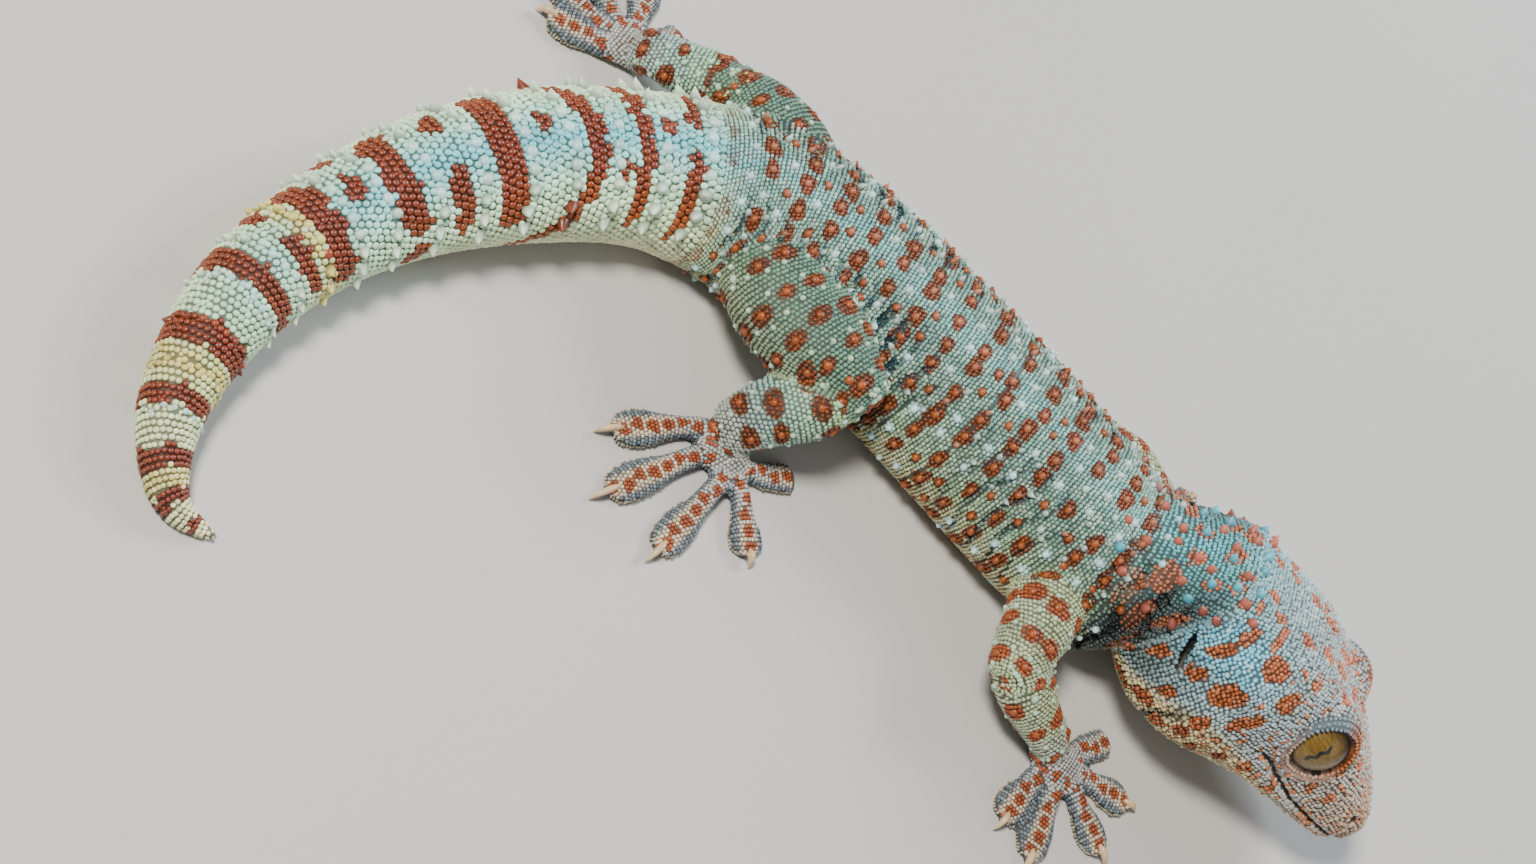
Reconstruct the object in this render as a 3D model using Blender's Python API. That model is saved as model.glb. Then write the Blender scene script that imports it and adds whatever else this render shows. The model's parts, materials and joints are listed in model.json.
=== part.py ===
"""Tokay gecko, life size and still: belly, feet and tail on the floor, head raised and tipped down.

+X is the way the gecko faces, +Y its left, +Z up, and the floor is z = 0. Sizes are millimetres
until each piece is finished, where MM turns them into metres and MIDDLE moves to the origin.
"""

import math
import random

import bmesh
import bpy
from mathutils import Matrix, Vector

MM = 0.001
GAP = 0.3
MIDDLE = Vector((20.4, -13.3, 0.0))

# Spine, from the tip of the tail to the nape: x, y, half width, height, lift of the underside,
# pitch (nose down) and roll (left side up), both in degrees
SPINE = (
    (-51.4, -85.7, 0.9, 1.7, 0.0, 0.0, 0.0),
    (-59.0, -87.2, 2.6, 4.6, 0.0, 0.0, 0.0),
    (-66.2, -81.5, 4.3, 7.6, 0.0, 0.0, 0.0),
    (-70.8, -72.0, 5.7, 10.2, 0.0, 0.0, 0.0),
    (-73.4, -57.0, 7.4, 13.2, 0.0, 0.0, 0.0),
    (-71.9, -40.0, 8.7, 15.4, 0.0, 0.0, 0.0),
    (-67.0, -22.5, 10.6, 18.2, 0.0, 0.0, 0.0),
    (-57.5, -4.5, 12.0, 20.2, 0.0, 0.0, 0.0),
    (-45.0, 11.0, 12.6, 21.0, 0.0, 0.0, 0.0),
    (-30.5, 20.7, 15.2, 22.6, 0.0, 0.0, 0.0),
    (-14.0, 24.9, 17.8, 23.8, 0.0, 0.0, 0.0),
    (12.0, 26.4, 18.6, 24.4, 0.0, 0.0, 0.0),
    (34.0, 26.3, 18.9, 25.0, 0.0, 0.0, 0.0),
    (48.0, 25.8, 18.4, 25.6, 0.0, 0.0, 0.0),
    (56.5, 25.8, 17.2, 26.8, 0.1, -5.0, -3.0),
    (62.0, 26.4, 16.8, 28.6, 0.5, 4.0, -8.0),
)
TAIL_JOINTS = (1.9, 3.8, 5.4, 7.0, 8.6)
SHOULDER = 13.7
BODY_SIDES = 26
BODY_STEP = 4.0
BODY_ROUNDNESS = 0.92
BODY_SINK = 0.07

# Head: its own axis runs from the nape to the snout, with left and up across it
HEAD_TIP = Vector((121.8, 25.0, 12.4))
HEAD_LENGTH = 54.0
HEAD_YAW = -4.0
HEAD_PITCH = 14.0
HEAD_ROLL = -19.0
# Along the head: distance from the nape, half width, crown above the mouth, chin below it
HEAD_STATIONS = (
    (0.0, 16.0, 8.6, 20.0),
    (4.0, 17.0, 9.2, 21.4),
    (8.5, 18.2, 10.2, 22.2),
    (13.5, 18.9, 11.6, 21.2),
    (19.0, 18.4, 12.8, 18.6),
    (24.0, 16.6, 12.7, 15.2),
    (29.0, 14.9, 12.0, 12.2),
    (33.5, 13.4, 11.0, 10.0),
    (38.5, 12.0, 9.6, 8.2),
    (43.5, 10.3, 8.0, 6.8),
    (47.8, 8.5, 6.3, 5.5),
    (51.1, 6.3, 4.7, 4.1),
    (53.2, 3.9, 3.2, 2.6),
    (54.0, 1.8, 1.7, 1.2),
)
# Across the head: share of the half width, share of the crown (or, below the mouth, of the chin)
HEAD_SECTION = (
    (0.36, 0.985),
    (0.66, 0.87),
    (0.88, 0.60),
    (0.985, 0.30),
    (0.98, -0.13),
    (0.965, -0.22),
    (0.955, -0.31),
    (0.99, -0.52),
    (0.80, -0.82),
)
MOUTH_ROW = 5
MOUTH_CORNER = 26.0
MOUTH_DEPTH = 0.7
EYE_CENTRE = Vector((29.0, 7.8, 5.6))
EYE_LOOKS = Vector((0.30, 0.94, 0.14)).normalized()
EYE_RADIUS = 6.6
EYE_SEGMENTS = 16
EYE_RINGS = 10
LID = 0.9
EYE_OPENING = (4.5, 5.0)
EAR = Vector((3.2, 17.2, -4.4))
EAR_SIZE = (1.2, 2.4, 4.2)
EAR_TILT = -40.0
NOSTRIL = Vector((48.6, 6.9, 3.4))
NOSTRIL_SIZE = (1.0, 1.0, 0.8)

LIMB_SIDES = 14
LIMB_STEPS = 3
LIMB_DOME = ((0.45, 0.86), (0.80, 0.56))
# Limbs: joints from the root out, as x, y, z, half width, half height
LIMBS = {
    "thigh_right": (
        (-23.5, 15.5, 12.5, 9.4, 8.2),
        (-13.5, 10.0, 14.2, 10.6, 8.6),
        (-4.0, 6.8, 16.6, 9.0, 7.4),
        (2.4, 5.2, 18.2, 5.6, 5.0),
    ),
    "shank_right": (
        (2.0, 4.4, 17.0, 5.0, 4.4),
        (-0.4, -0.4, 13.8, 6.2, 5.0),
        (-4.0, -5.0, 9.4, 5.8, 4.4),
        (-6.0, -8.4, 5.4, 4.8, 3.4),
    ),
    "thigh_left": (
        (-22.0, 27.0, 12.5, 9.0, 8.2),
        (-30.5, 32.0, 12.6, 9.6, 8.2),
        (-38.5, 35.0, 11.6, 7.6, 6.8),
        (-43.0, 36.0, 10.8, 5.0, 4.8),
    ),
    "shank_left": (
        (-41.5, 35.8, 10.6, 4.8, 4.4),
        (-46.5, 35.4, 9.2, 5.4, 4.6),
        (-52.5, 34.2, 6.8, 5.0, 4.0),
        (-57.8, 33.2, 4.8, 4.4, 3.2),
    ),
    "upper_arm_right": (
        (51.0, 17.0, 12.0, 7.4, 7.0),
        (52.0, 9.0, 12.6, 6.8, 6.4),
        (53.0, 1.0, 12.6, 6.2, 5.6),
        (53.4, -5.0, 11.8, 4.8, 4.4),
    ),
    "forearm_right": (
        (53.8, -3.4, 11.4, 4.8, 4.4),
        (58.0, -4.6, 9.4, 5.8, 4.8),
        (64.2, -4.8, 6.6, 4.8, 3.8),
        (69.2, -4.8, 4.8, 4.0, 3.0),
    ),
    "upper_arm_left": (
        (51.0, 33.0, 12.0, 7.4, 7.0),
        (49.8, 38.0, 10.6, 6.4, 6.0),
        (47.4, 43.4, 8.8, 5.6, 5.2),
        (45.8, 48.0, 7.6, 4.6, 4.2),
    ),
    "forearm_left": (
        (46.8, 47.0, 7.4, 4.6, 4.2),
        (52.2, 49.8, 6.6, 5.2, 4.4),
        (59.2, 50.9, 5.2, 4.4, 3.6),
        (64.8, 51.0, 4.4, 3.8, 3.0),
    ),
}
ROOT_LIMBS = [name for name in LIMBS if name.startswith(("thigh", "shank"))]
CARRIED_BY = {
    "shank": "thigh",
    "forearm": "upper_arm",
    "foot": "shank",
    "hand": "forearm",
}

# Feet: ankle, middle of the palm, then each toe as (base x, y), (tip x, y), with the first toe last
FEET = {
    "foot_right": ((-4.6, -6.6), (-3.7, -11.6), (
        ((-9.2, -10.8), (-21.8, -25.9)),
        ((-6.6, -14.6), (-15.3, -35.4)),
        ((-1.4, -16.4), (-2.2, -36.1)),
        ((2.5, -14.5), (11.4, -22.4)),
        ((1.2, -9.9), (8.6, -3.2)),
    )),
    "foot_left": ((-56.4, 33.4), (-61.2, 33.0), (
        ((-61.4, 30.0), (-75.6, 24.8)),
        ((-64.2, 31.8), (-81.4, 31.6)),
        ((-64.0, 34.2), (-79.0, 43.4)),
        ((-61.4, 35.8), (-67.2, 50.6)),
        ((-58.8, 35.6), (-55.2, 45.4)),
    )),
    "hand_right": ((68.4, -4.8), (73.9, -5.0), (
        ((71.6, -7.8), (70.6, -22.9)),
        ((75.0, -7.6), (78.7, -25.0)),
        ((77.4, -5.8), (90.8, -11.5)),
        ((77.2, -3.2), (90.6, 1.4)),
        ((74.6, -1.6), (80.0, 8.0)),
    )),
    "hand_left": ((64.0, 51.0), (69.4, 50.6), (
        ((67.2, 53.6), (68.8, 62.6)),
        ((70.2, 54.8), (77.4, 63.0)),
        ((73.6, 53.4), (86.2, 59.4)),
        ((73.8, 51.2), (87.2, 50.6)),
        ((72.2, 48.6), (79.8, 45.4)),
    )),
}
# Along a toe: place (0 in the palm, 1 at the base, 2 at the tip), half width, height, lift
TOE_STATIONS = (
    (0.35, 1.7, 2.6, 0.9),
    (1.00, 1.9, 3.0, 0.6),
    (1.30, 2.2, 2.9, 0.0),
    (1.48, 3.2, 2.6, 0.0),
    (1.64, 3.4, 2.3, 0.0),
    (1.76, 2.4, 2.0, 0.0),
    (1.80, 0.95, 2.2, 0.5),
    (1.90, 0.75, 1.8, 0.5),
    (2.00, 0.25, 0.7, 0.2),
)
FIRST_TOE_STATIONS = (
    (0.35, 1.6, 2.6, 0.9),
    (1.00, 1.9, 2.8, 0.5),
    (1.35, 2.6, 2.6, 0.0),
    (1.75, 2.7, 2.2, 0.0),
    (1.92, 1.9, 1.6, 0.0),
    (2.00, 0.9, 0.9, 0.0),
)
TOE_SECTION = ((1.0, 0.0), (1.0, 0.35), (0.62, 0.86), (0.0, 1.0), (-0.62, 0.86), (-1.0, 0.35), (-1.0, 0.0))
PALM_HALF = 4.6
PALM_HEIGHT = 4.4
PALM_LIFT = 0.3
# Along a palm, with the distance from ankle to middle as one: place, share of half width, of height
PALM_STATIONS = (
    (-0.10, 0.55, 1.25),
    (0.45, 0.80, 1.15),
    (1.00, 1.00, 0.95),
    (1.45, 0.85, 0.70),
    (1.75, 0.40, 0.45),
)

# Raised scales: low points in staggered rows, and on the tail whorls of taller ones that lean back
TUBERCLE_HEIGHT = 0.8
WHORL_HEIGHT = 1.5
WHORL_LEAN = 1.0
TUBERCLE_SHARE = 0.24
LOWEST_TUBERCLE = 9.0
CLEAR_OF_LIMB = 2.6
SEED = 5

COLOURS = {
    "head": (0.52, 0.62, 0.66),
    "neck": (0.42, 0.66, 0.72),
    "torso": (0.47, 0.62, 0.62),
    "tail": (0.66, 0.76, 0.72),
    "eye": (0.46, 0.38, 0.12),
    "limb": (0.50, 0.64, 0.58),
    "foot": (0.40, 0.48, 0.54),
}


def along(rows, place):
    """The values at a place along rows of numbers, on a smooth curve through every row."""
    last = len(rows) - 1
    first = min(max(int(place), 0), last - 1)
    part = place - first
    before, start, end, after = (Vector(rows[min(max(first + k, 0), last)]) for k in (-1, 0, 1, 2))
    return 0.5 * (
        2.0 * start
        + (end - before) * part
        + (2.0 * before - 5.0 * start + 4.0 * end - after) * part ** 2
        + (3.0 * start - before - 3.0 * end + after) * part ** 3
    )


def turned(yaw, pitch, roll):
    """A rotation from an axis that points along +X: turned left, nose down, then left side up."""
    spin = Matrix.Rotation(math.radians(yaw), 3, "Z")
    return spin @ Matrix.Rotation(math.radians(pitch), 3, "Y") @ Matrix.Rotation(math.radians(roll), 3, "X")


def eased(value, power):
    return math.copysign(abs(value) ** power, value)


def head_frame():
    return turned(HEAD_YAW, HEAD_PITCH, HEAD_ROLL)


def head_point(ahead, left, up):
    """A point of the head's own frame, in the animal's."""
    return HEAD_TIP + head_frame() @ Vector((ahead - HEAD_LENGTH, left, up))


def body_ring(place, grow=0.0):
    """The outline across the body at a place along the spine."""
    x, y, half, height, lift, pitch, roll = along(SPINE, place)
    ahead = along(SPINE, place + 0.02) - along(SPINE, place - 0.02)
    yaw = math.degrees(math.atan2(ahead[1], ahead[0]))
    frame = turned(yaw, pitch, roll)
    centre = Vector((x, y, lift + height * (0.5 - BODY_SINK)))
    ring = []
    for corner in range(BODY_SIDES):
        angle = 2.0 * math.pi * (corner + 0.5) / BODY_SIDES
        left = (half + grow) * eased(math.cos(angle), BODY_ROUNDNESS)
        up = (height * (0.5 + BODY_SINK * 0.5) + grow) * eased(math.sin(angle), BODY_ROUNDNESS)
        point = centre + frame @ Vector((0.0, left, up))
        point.z = max(point.z, -grow)
        ring.append(point)
    return ring


def spine_places(start, end):
    """Places along the spine from start to end, about BODY_STEP apart."""
    samples = 40
    path = [along(SPINE, start + (end - start) * k / samples).xy for k in range(samples + 1)]
    length = sum((b - a).length for a, b in zip(path, path[1:]))
    count = max(2, round(length / BODY_STEP))
    return [start + (end - start) * k / count for k in range(count + 1)]


def moved_along(ring, distance):
    """The ring moved along its own axis, which keeps it parallel to its neighbour."""
    centre = sum(ring, Vector()) / len(ring)
    normal = (ring[0] - centre).cross(ring[len(ring) // 4] - centre).normalized()
    return [point + normal * distance for point in ring]


def loft(bm, rings):
    """A closed skin over rings with the same number of points, flat at both ends."""
    slot = bm.verts.layers.int.get("slot") or bm.verts.layers.int.new("slot")
    row = bm.verts.layers.int.get("row") or bm.verts.layers.int.new("row")
    first = bmesh.ops.create_circle(bm, cap_ends=True, segments=len(rings[0]), radius=1.0)["verts"]
    for index, vert in enumerate(first):
        vert[slot] = index
        vert.co = rings[0][index]
    cap = first[0].link_faces[0]
    for level, ring in enumerate(rings[1:], 1):
        grown = bmesh.ops.extrude_face_region(bm, geom=[cap])["geom"]
        if level > 1:
            bmesh.ops.delete(bm, geom=[cap], context="FACES_ONLY")
        cap = next(piece for piece in grown if isinstance(piece, bmesh.types.BMFace))
        for vert in cap.verts:
            vert[row] = level
            vert.co = ring[vert[slot]]
    bmesh.ops.recalc_face_normals(bm, faces=bm.faces)


def row_and_column(bm, face):
    """Which band of a loft a side face is in, and how far round it."""
    slot = bm.verts.layers.int["slot"]
    row = bm.verts.layers.int["row"]
    columns = sorted({vert[slot] for vert in face.verts})
    column = columns[-1] if columns[-1] - columns[0] > 1 else columns[0]
    return min(vert[row] for vert in face.verts), column


def toward_next_row(bm, face):
    """The direction along the loft over a side face."""
    row = bm.verts.layers.int["row"]
    level = min(vert[row] for vert in face.verts)
    near = [vert.co for vert in face.verts if vert[row] == level]
    far = [vert.co for vert in face.verts if vert[row] > level]
    return (sum(far, Vector()) / len(far) - sum(near, Vector()) / len(near)).normalized()


def near_limb(point, limbs):
    """Whether a point is on or close beside one of the limbs."""
    for name in limbs:
        joints = LIMBS[name]
        for step in range(4 * (len(joints) - 1) + 1):
            x, y, z, half, tall = along(joints, step / 4.0)
            if (Vector((x, y, z)) - point).length < max(half, tall) + CLEAR_OF_LIMB:
                return True
    return False


def raised(bm, rows, height, lean, others):
    """Low pointed scales on every second face of the upper side, clear of the limbs named."""
    chosen = []
    for face in bm.faces:
        if len(face.verts) != 4 or face.calc_center_median().z < LOWEST_TUBERCLE:
            continue
        row, column = row_and_column(bm, face)
        if row in rows and (row + column) % 2 == 0 and not near_limb(face.calc_center_median(), others):
            chosen.append((face, toward_next_row(bm, face) * -lean))
    for face, shift in chosen:
        size = math.sqrt(face.calc_area())
        bmesh.ops.inset_individual(bm, faces=[face], thickness=size * TUBERCLE_SHARE)
        tall = height * random.uniform(0.8, 1.1)
        tip = bmesh.ops.poke(bm, faces=[face], offset=tall, center_mode="MEAN_WEIGHTED")["verts"][0]
        tip.co += shift


def material(name, colour):
    made = bpy.data.materials.new(name)
    made.use_nodes = True
    shader = made.node_tree.nodes["Principled BSDF"]
    shader.inputs["Base Color"].default_value = (*colour, 1.0)
    shader.inputs["Roughness"].default_value = 0.15 if name.startswith("eye") else 0.6
    return made


def shaped(name, bm):
    """A new object that holds the bmesh."""
    mesh = bpy.data.meshes.new(name)
    bm.to_mesh(mesh)
    bm.free()
    piece = bpy.data.objects.new(name, mesh)
    bpy.context.scene.collection.objects.link(piece)
    return piece


def largest_shell(bm):
    """Removes all but the largest closed surface."""
    left = set(bm.faces)
    shells = []
    while left:
        shell = set()
        edge_of = [left.pop()]
        while edge_of:
            face = edge_of.pop()
            shell.add(face)
            near = {other for edge in face.edges for other in edge.link_faces if other in left}
            left -= near
            edge_of.extend(near)
        shells.append(shell)
    shells.sort(key=lambda shell: sum(face.calc_area() for face in shell))
    loose = [face for shell in shells[:-1] for face in shell]
    bmesh.ops.delete(bm, geom=loose, context="FACES")


def joined(piece, operation, others):
    """Joins or cuts the piece with others in one Boolean, applies it and removes the others."""
    group = bpy.data.collections.new("operands")
    bpy.context.scene.collection.children.link(group)
    for other in others:
        group.objects.link(other)
    boolean = piece.modifiers.new(operation.lower(), "BOOLEAN")
    boolean.operation = operation
    boolean.operand_type = "COLLECTION"
    boolean.collection = group
    boolean.solver = "EXACT"
    seen = piece.evaluated_get(bpy.context.evaluated_depsgraph_get())
    bm = bmesh.new()
    bm.from_mesh(seen.to_mesh())
    seen.to_mesh_clear()
    piece.modifiers.clear()
    largest_shell(bm)
    bmesh.ops.triangulate(bm, faces=bm.faces)
    bm.to_mesh(piece.data)
    bm.free()
    for other in others:
        bpy.data.objects.remove(other)
    bpy.data.collections.remove(group)


def finished(piece, kind):
    """Puts the piece in metres about the origin and gives it its material."""
    bm = bmesh.new()
    bm.from_mesh(piece.data)
    bmesh.ops.translate(bm, verts=bm.verts, vec=-MIDDLE)
    bmesh.ops.scale(bm, verts=bm.verts, vec=(MM, MM, MM))
    bm.to_mesh(piece.data)
    bm.free()
    piece.data.shade_smooth()
    piece.data.set_sharp_from_angle(angle=math.radians(50.0))
    piece.data.materials.append(material(piece.name, COLOURS[kind]))


def body_loft(start, end, grow=0.0):
    """A length of the body or tail, trimmed by half the gap at each end that meets another."""
    rings = [body_ring(place, grow) for place in spine_places(start, end)]
    if start > 0.0:
        rings[0] = moved_along(rings[0], GAP / 2.0)
    rings[-1] = moved_along(rings[-1], -GAP / 2.0)
    bm = bmesh.new()
    loft(bm, rings)
    return bm, len(rings)


def tail_piece(name, start, end, share):
    """A length of the tail with its whorls, lower towards the tip."""
    bm, count = body_loft(start, end)
    raised(bm, range(1, count - 2), WHORL_HEIGHT * share, WHORL_LEAN * share, ROOT_LIMBS)
    return shaped(name, bm)


def head_ring(row):
    """The outline across the head at one of its stations, in the animal's frame."""
    ahead, half, crown, chin = row
    corner = min(max((ahead - MOUTH_CORNER) / 2.0, 0.0), 1.0)
    side = []
    for index, (across, high) in enumerate(HEAD_SECTION):
        left = across * half
        if index == MOUTH_ROW:
            left -= MOUTH_DEPTH * corner
        up = high * (crown if high > 0.0 else chin)
        side.append((left, up))
    outline = [(0.0, crown)] + side + [(0.0, -chin)] + [(-left, up) for left, up in reversed(side)]
    return [head_point(ahead, left, up) for left, up in outline]


def neck_piece():
    """From the shoulders to the nape, where it takes the outline of the back of the head."""
    last = len(SPINE) - 1
    rings = [body_ring(place) for place in spine_places(SHOULDER, last)]
    rings[0] = moved_along(rings[0], GAP / 2.0)
    nape = []
    for corner in range(BODY_SIDES):
        angle = 2.0 * math.pi * (corner + 0.5) / BODY_SIDES
        _, half, crown, chin = HEAD_STATIONS[0]
        left = half * eased(math.cos(angle), BODY_ROUNDNESS)
        up = (crown + chin) / 2.0 * eased(math.sin(angle), BODY_ROUNDNESS) + (crown - chin) / 2.0
        nape.append(head_point(-GAP, left, up))
    between = [[a.lerp(b, share) for a, b in zip(rings[-1], nape)] for share in (0.34, 0.67)]
    bm = bmesh.new()
    rings += between + [nape]
    loft(bm, rings)
    raised(bm, range(1, len(rings) - 2), TUBERCLE_HEIGHT, 0.0, LIMBS)
    return shaped("neck", bm)


def ball(name, centre, size, segments, rings, frame):
    """An ellipsoid with its own half sizes, turned by a frame."""
    bm = bmesh.new()
    bmesh.ops.create_uvsphere(bm, u_segments=segments, v_segments=rings, radius=1.0)
    bmesh.ops.scale(bm, verts=bm.verts, vec=size)
    bmesh.ops.transform(bm, verts=bm.verts, matrix=frame.to_4x4())
    bmesh.ops.translate(bm, verts=bm.verts, vec=centre)
    return shaped(name, bm)


def mirrored(point, side):
    return Vector((point.x, point.y * side, point.z))


def eye_frame(side):
    """Turns +Z to the way an eye looks, with +X as far forward as that allows."""
    looks = head_frame() @ mirrored(EYE_LOOKS, side)
    ahead = head_frame() @ Vector((1.0, 0.0, 0.0))
    across = looks.cross(ahead).normalized()
    return Matrix((across.cross(looks), across, looks)).transposed()


def lid_opening(name, side):
    """A short oval peg along the way the eye looks, which opens the lids."""
    bm = bmesh.new()
    depth = EYE_RADIUS * 2.0
    bmesh.ops.create_cone(bm, cap_ends=True, segments=20, radius1=1.0, radius2=1.25, depth=depth)
    bmesh.ops.scale(bm, verts=bm.verts, vec=(*EYE_OPENING, 1.0))
    centre = head_point(*mirrored(EYE_CENTRE, side))
    frame = eye_frame(side)
    bmesh.ops.translate(bm, verts=bm.verts, vec=(0.0, 0.0, depth / 2.0 + EYE_RADIUS * 0.25))
    bmesh.ops.transform(bm, verts=bm.verts, matrix=frame.to_4x4())
    bmesh.ops.translate(bm, verts=bm.verts, vec=centre)
    return shaped(name, bm)


def head_piece():
    """Skull and jaws, with lids round the eyes, the line of the mouth, ear cups and nostrils."""
    bm = bmesh.new()
    loft(bm, [head_ring(row) for row in HEAD_STATIONS])
    bmesh.ops.subdivide_edges(bm, edges=bm.edges, cuts=1, smooth=0.6, use_grid_fill=True)
    axis = head_frame().col[0]
    for vert in bm.verts:
        behind = (vert.co - HEAD_TIP).dot(axis) + HEAD_LENGTH
        vert.co -= axis * min(behind, 0.0)
    head = shaped("head", bm)
    lid = EYE_RADIUS + GAP + LID
    socket = EYE_RADIUS + GAP
    lids = []
    cuts = []
    for side in (1.0, -1.0):
        centre = head_point(*mirrored(EYE_CENTRE, side))
        frame = eye_frame(side)
        lids.append(ball(f"lid_{side}", centre, (lid, lid, lid), 20, 12, frame))
        cuts.append(ball(f"socket_{side}", centre, (socket, socket, socket), 20, 12, frame))
        cuts.append(lid_opening(f"opening_{side}", side))
        tilt = head_frame() @ turned(0.0, EAR_TILT, 0.0)
        cuts.append(ball(f"ear_{side}", head_point(*mirrored(EAR, side)), EAR_SIZE, 12, 8, tilt))
        cuts.append(ball(f"nostril_{side}", head_point(*mirrored(NOSTRIL, side)), NOSTRIL_SIZE, 8, 6, tilt))
    joined(head, "UNION", lids)
    joined(head, "DIFFERENCE", cuts)
    return head


def limb_rings(joints, grow=0.0):
    """Oval rings along a limb, with a dome of smaller rings at its far end."""
    last = len(joints) - 1
    places = [k / LIMB_STEPS for k in range(LIMB_STEPS * last + 1)]
    rings = []
    for place in places:
        *centre, half, tall = along(joints, place)
        ahead = (along(joints, place + 0.05) - along(joints, place - 0.05)).xyz.normalized()
        rings.append((Vector(centre), ahead, half + grow, tall + grow))
    centre, ahead, half, tall = rings[-1]
    for lift, share in LIMB_DOME:
        rings.append((centre + ahead * tall * lift, ahead, half * share, tall * share))
    made = []
    for centre, ahead, half, tall in rings:
        side = Vector((0.0, 0.0, 1.0)).cross(ahead).normalized()
        top = ahead.cross(side)
        angles = [2.0 * math.pi * k / LIMB_SIDES for k in range(LIMB_SIDES)]
        made.append([centre + side * half * math.cos(a) + top * tall * math.sin(a) for a in angles])
    return made


def limb_cutter(joints):
    """The limb grown by the gap, to trim what it carries."""
    bm = bmesh.new()
    loft(bm, limb_rings(joints, GAP))
    return shaped("cutter", bm)


def body_cutter():
    """The body grown by the gap, to trim the limbs' roots."""
    bm, _ = body_loft(TAIL_JOINTS[-2], len(SPINE) - 1, GAP)
    return shaped("cutter", bm)


def limb_piece(name, joints, others):
    """A limb with a few raised scales along its middle."""
    bm = bmesh.new()
    loft(bm, limb_rings(joints))
    raised(bm, range(2, LIMB_STEPS * 2), TUBERCLE_HEIGHT, 0.0, others)
    return shaped(name, bm)


def toe_piece(name, palm, base, tip, stations, root_lift):
    """A toe from the palm to its claw: a narrow root, a broad flat pad, then the claw."""
    path = (palm, (*base, 0.0), (*tip, 0.0))
    rings = []
    for place, half, height, lift in stations:
        centre = along(path, place)
        ahead = (along(path, place + 0.05) - along(path, place - 0.05)).normalized()
        side = Vector((-ahead.y, ahead.x, 0.0))
        low = lift + root_lift if place < 1.0 else lift
        centre.z = low
        rings.append([centre + side * half * x + Vector((0.0, 0.0, height * y)) for x, y in TOE_SECTION])
    bm = bmesh.new()
    loft(bm, rings)
    return shaped(name, bm)


def foot_piece(name, ankle, palm, toes):
    """The palm and its five toes, joined."""
    ankle = Vector((*ankle, 0.0))
    palm = Vector((*palm, 0.0))
    ahead = (palm - ankle).normalized()
    side = Vector((-ahead.y, ahead.x, 0.0))
    length = (palm - ankle).length
    bm = bmesh.new()
    rings = []
    for reach, half, height in PALM_STATIONS:
        centre = ankle + ahead * length * reach + Vector((0.0, 0.0, PALM_LIFT))
        up = Vector((0.0, 0.0, PALM_HEIGHT * height))
        rings.append([centre + side * PALM_HALF * half * x + up * y for x, y in TOE_SECTION])
    loft(bm, rings)
    foot = shaped(name, bm)
    pieces = []
    for index, (base, tip) in enumerate(toes):
        stations = FIRST_TOE_STATIONS if index == len(toes) - 1 else TOE_STATIONS
        pieces.append(toe_piece(f"{name}_toe_{index}", palm, base, tip, stations, 0.1 * index))
    joined(foot, "UNION", pieces)
    return foot


def body():
    """Tail, torso, neck, head and eyes."""
    ends = (0.0, *TAIL_JOINTS)
    lengths = len(TAIL_JOINTS)
    for index in range(lengths):
        share = 0.35 + 0.65 * index / (lengths - 1)
        finished(tail_piece(f"tail_{lengths - index}", ends[index], ends[index + 1], share), "tail")
    bm, count = body_loft(TAIL_JOINTS[-1], SHOULDER)
    raised(bm, range(1, count - 2), TUBERCLE_HEIGHT, 0.0, LIMBS)
    finished(shaped("torso", bm), "torso")
    finished(neck_piece(), "neck")
    finished(head_piece(), "head")
    for name, side in (("eye_left", 1.0), ("eye_right", -1.0)):
        centre = head_point(*mirrored(EYE_CENTRE, side))
        size = (EYE_RADIUS, EYE_RADIUS, EYE_RADIUS)
        finished(ball(name, centre, size, EYE_SEGMENTS, EYE_RINGS, eye_frame(side)), "eye")


def limbs():
    """Legs and feet, each cut clear of what carries it."""
    for name, joints in LIMBS.items():
        part, side = name.rsplit("_", 1)
        carrier = CARRIED_BY.get(part)
        others = [other for other in LIMBS if other != name]
        piece = limb_piece(name, joints, others)
        cutters = [body_cutter()]
        if carrier:
            cutters.append(limb_cutter(LIMBS[f"{carrier}_{side}"]))
        joined(piece, "DIFFERENCE", cutters)
        finished(piece, "limb")
    for name, (ankle, palm, toes) in FEET.items():
        part, side = name.rsplit("_", 1)
        foot = foot_piece(name, ankle, palm, toes)
        joined(foot, "DIFFERENCE", [limb_cutter(LIMBS[f"{CARRIED_BY[part]}_{side}"])])
        finished(foot, "foot")


def main():
    for piece in list(bpy.data.objects):
        bpy.data.objects.remove(piece)
    random.seed(SEED)
    body()
    limbs()


main()
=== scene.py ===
"""Tokay gecko, life size: skin, scales, eyes, toes and claws, on a pale floor under studio light.

The shapes are worked out in millimetres in the animal's own frame: +X is the way it faces, +Y its
left, +Z up, and the floor is z = 0. Each finished piece is moved so that MIDDLE is the origin, in metres.
"""

import itertools
import json
import math

import bmesh
import bpy
import numpy as np
from mathutils import Matrix, Vector
from mathutils.bvhtree import BVHTree
from mathutils.kdtree import KDTree

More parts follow.
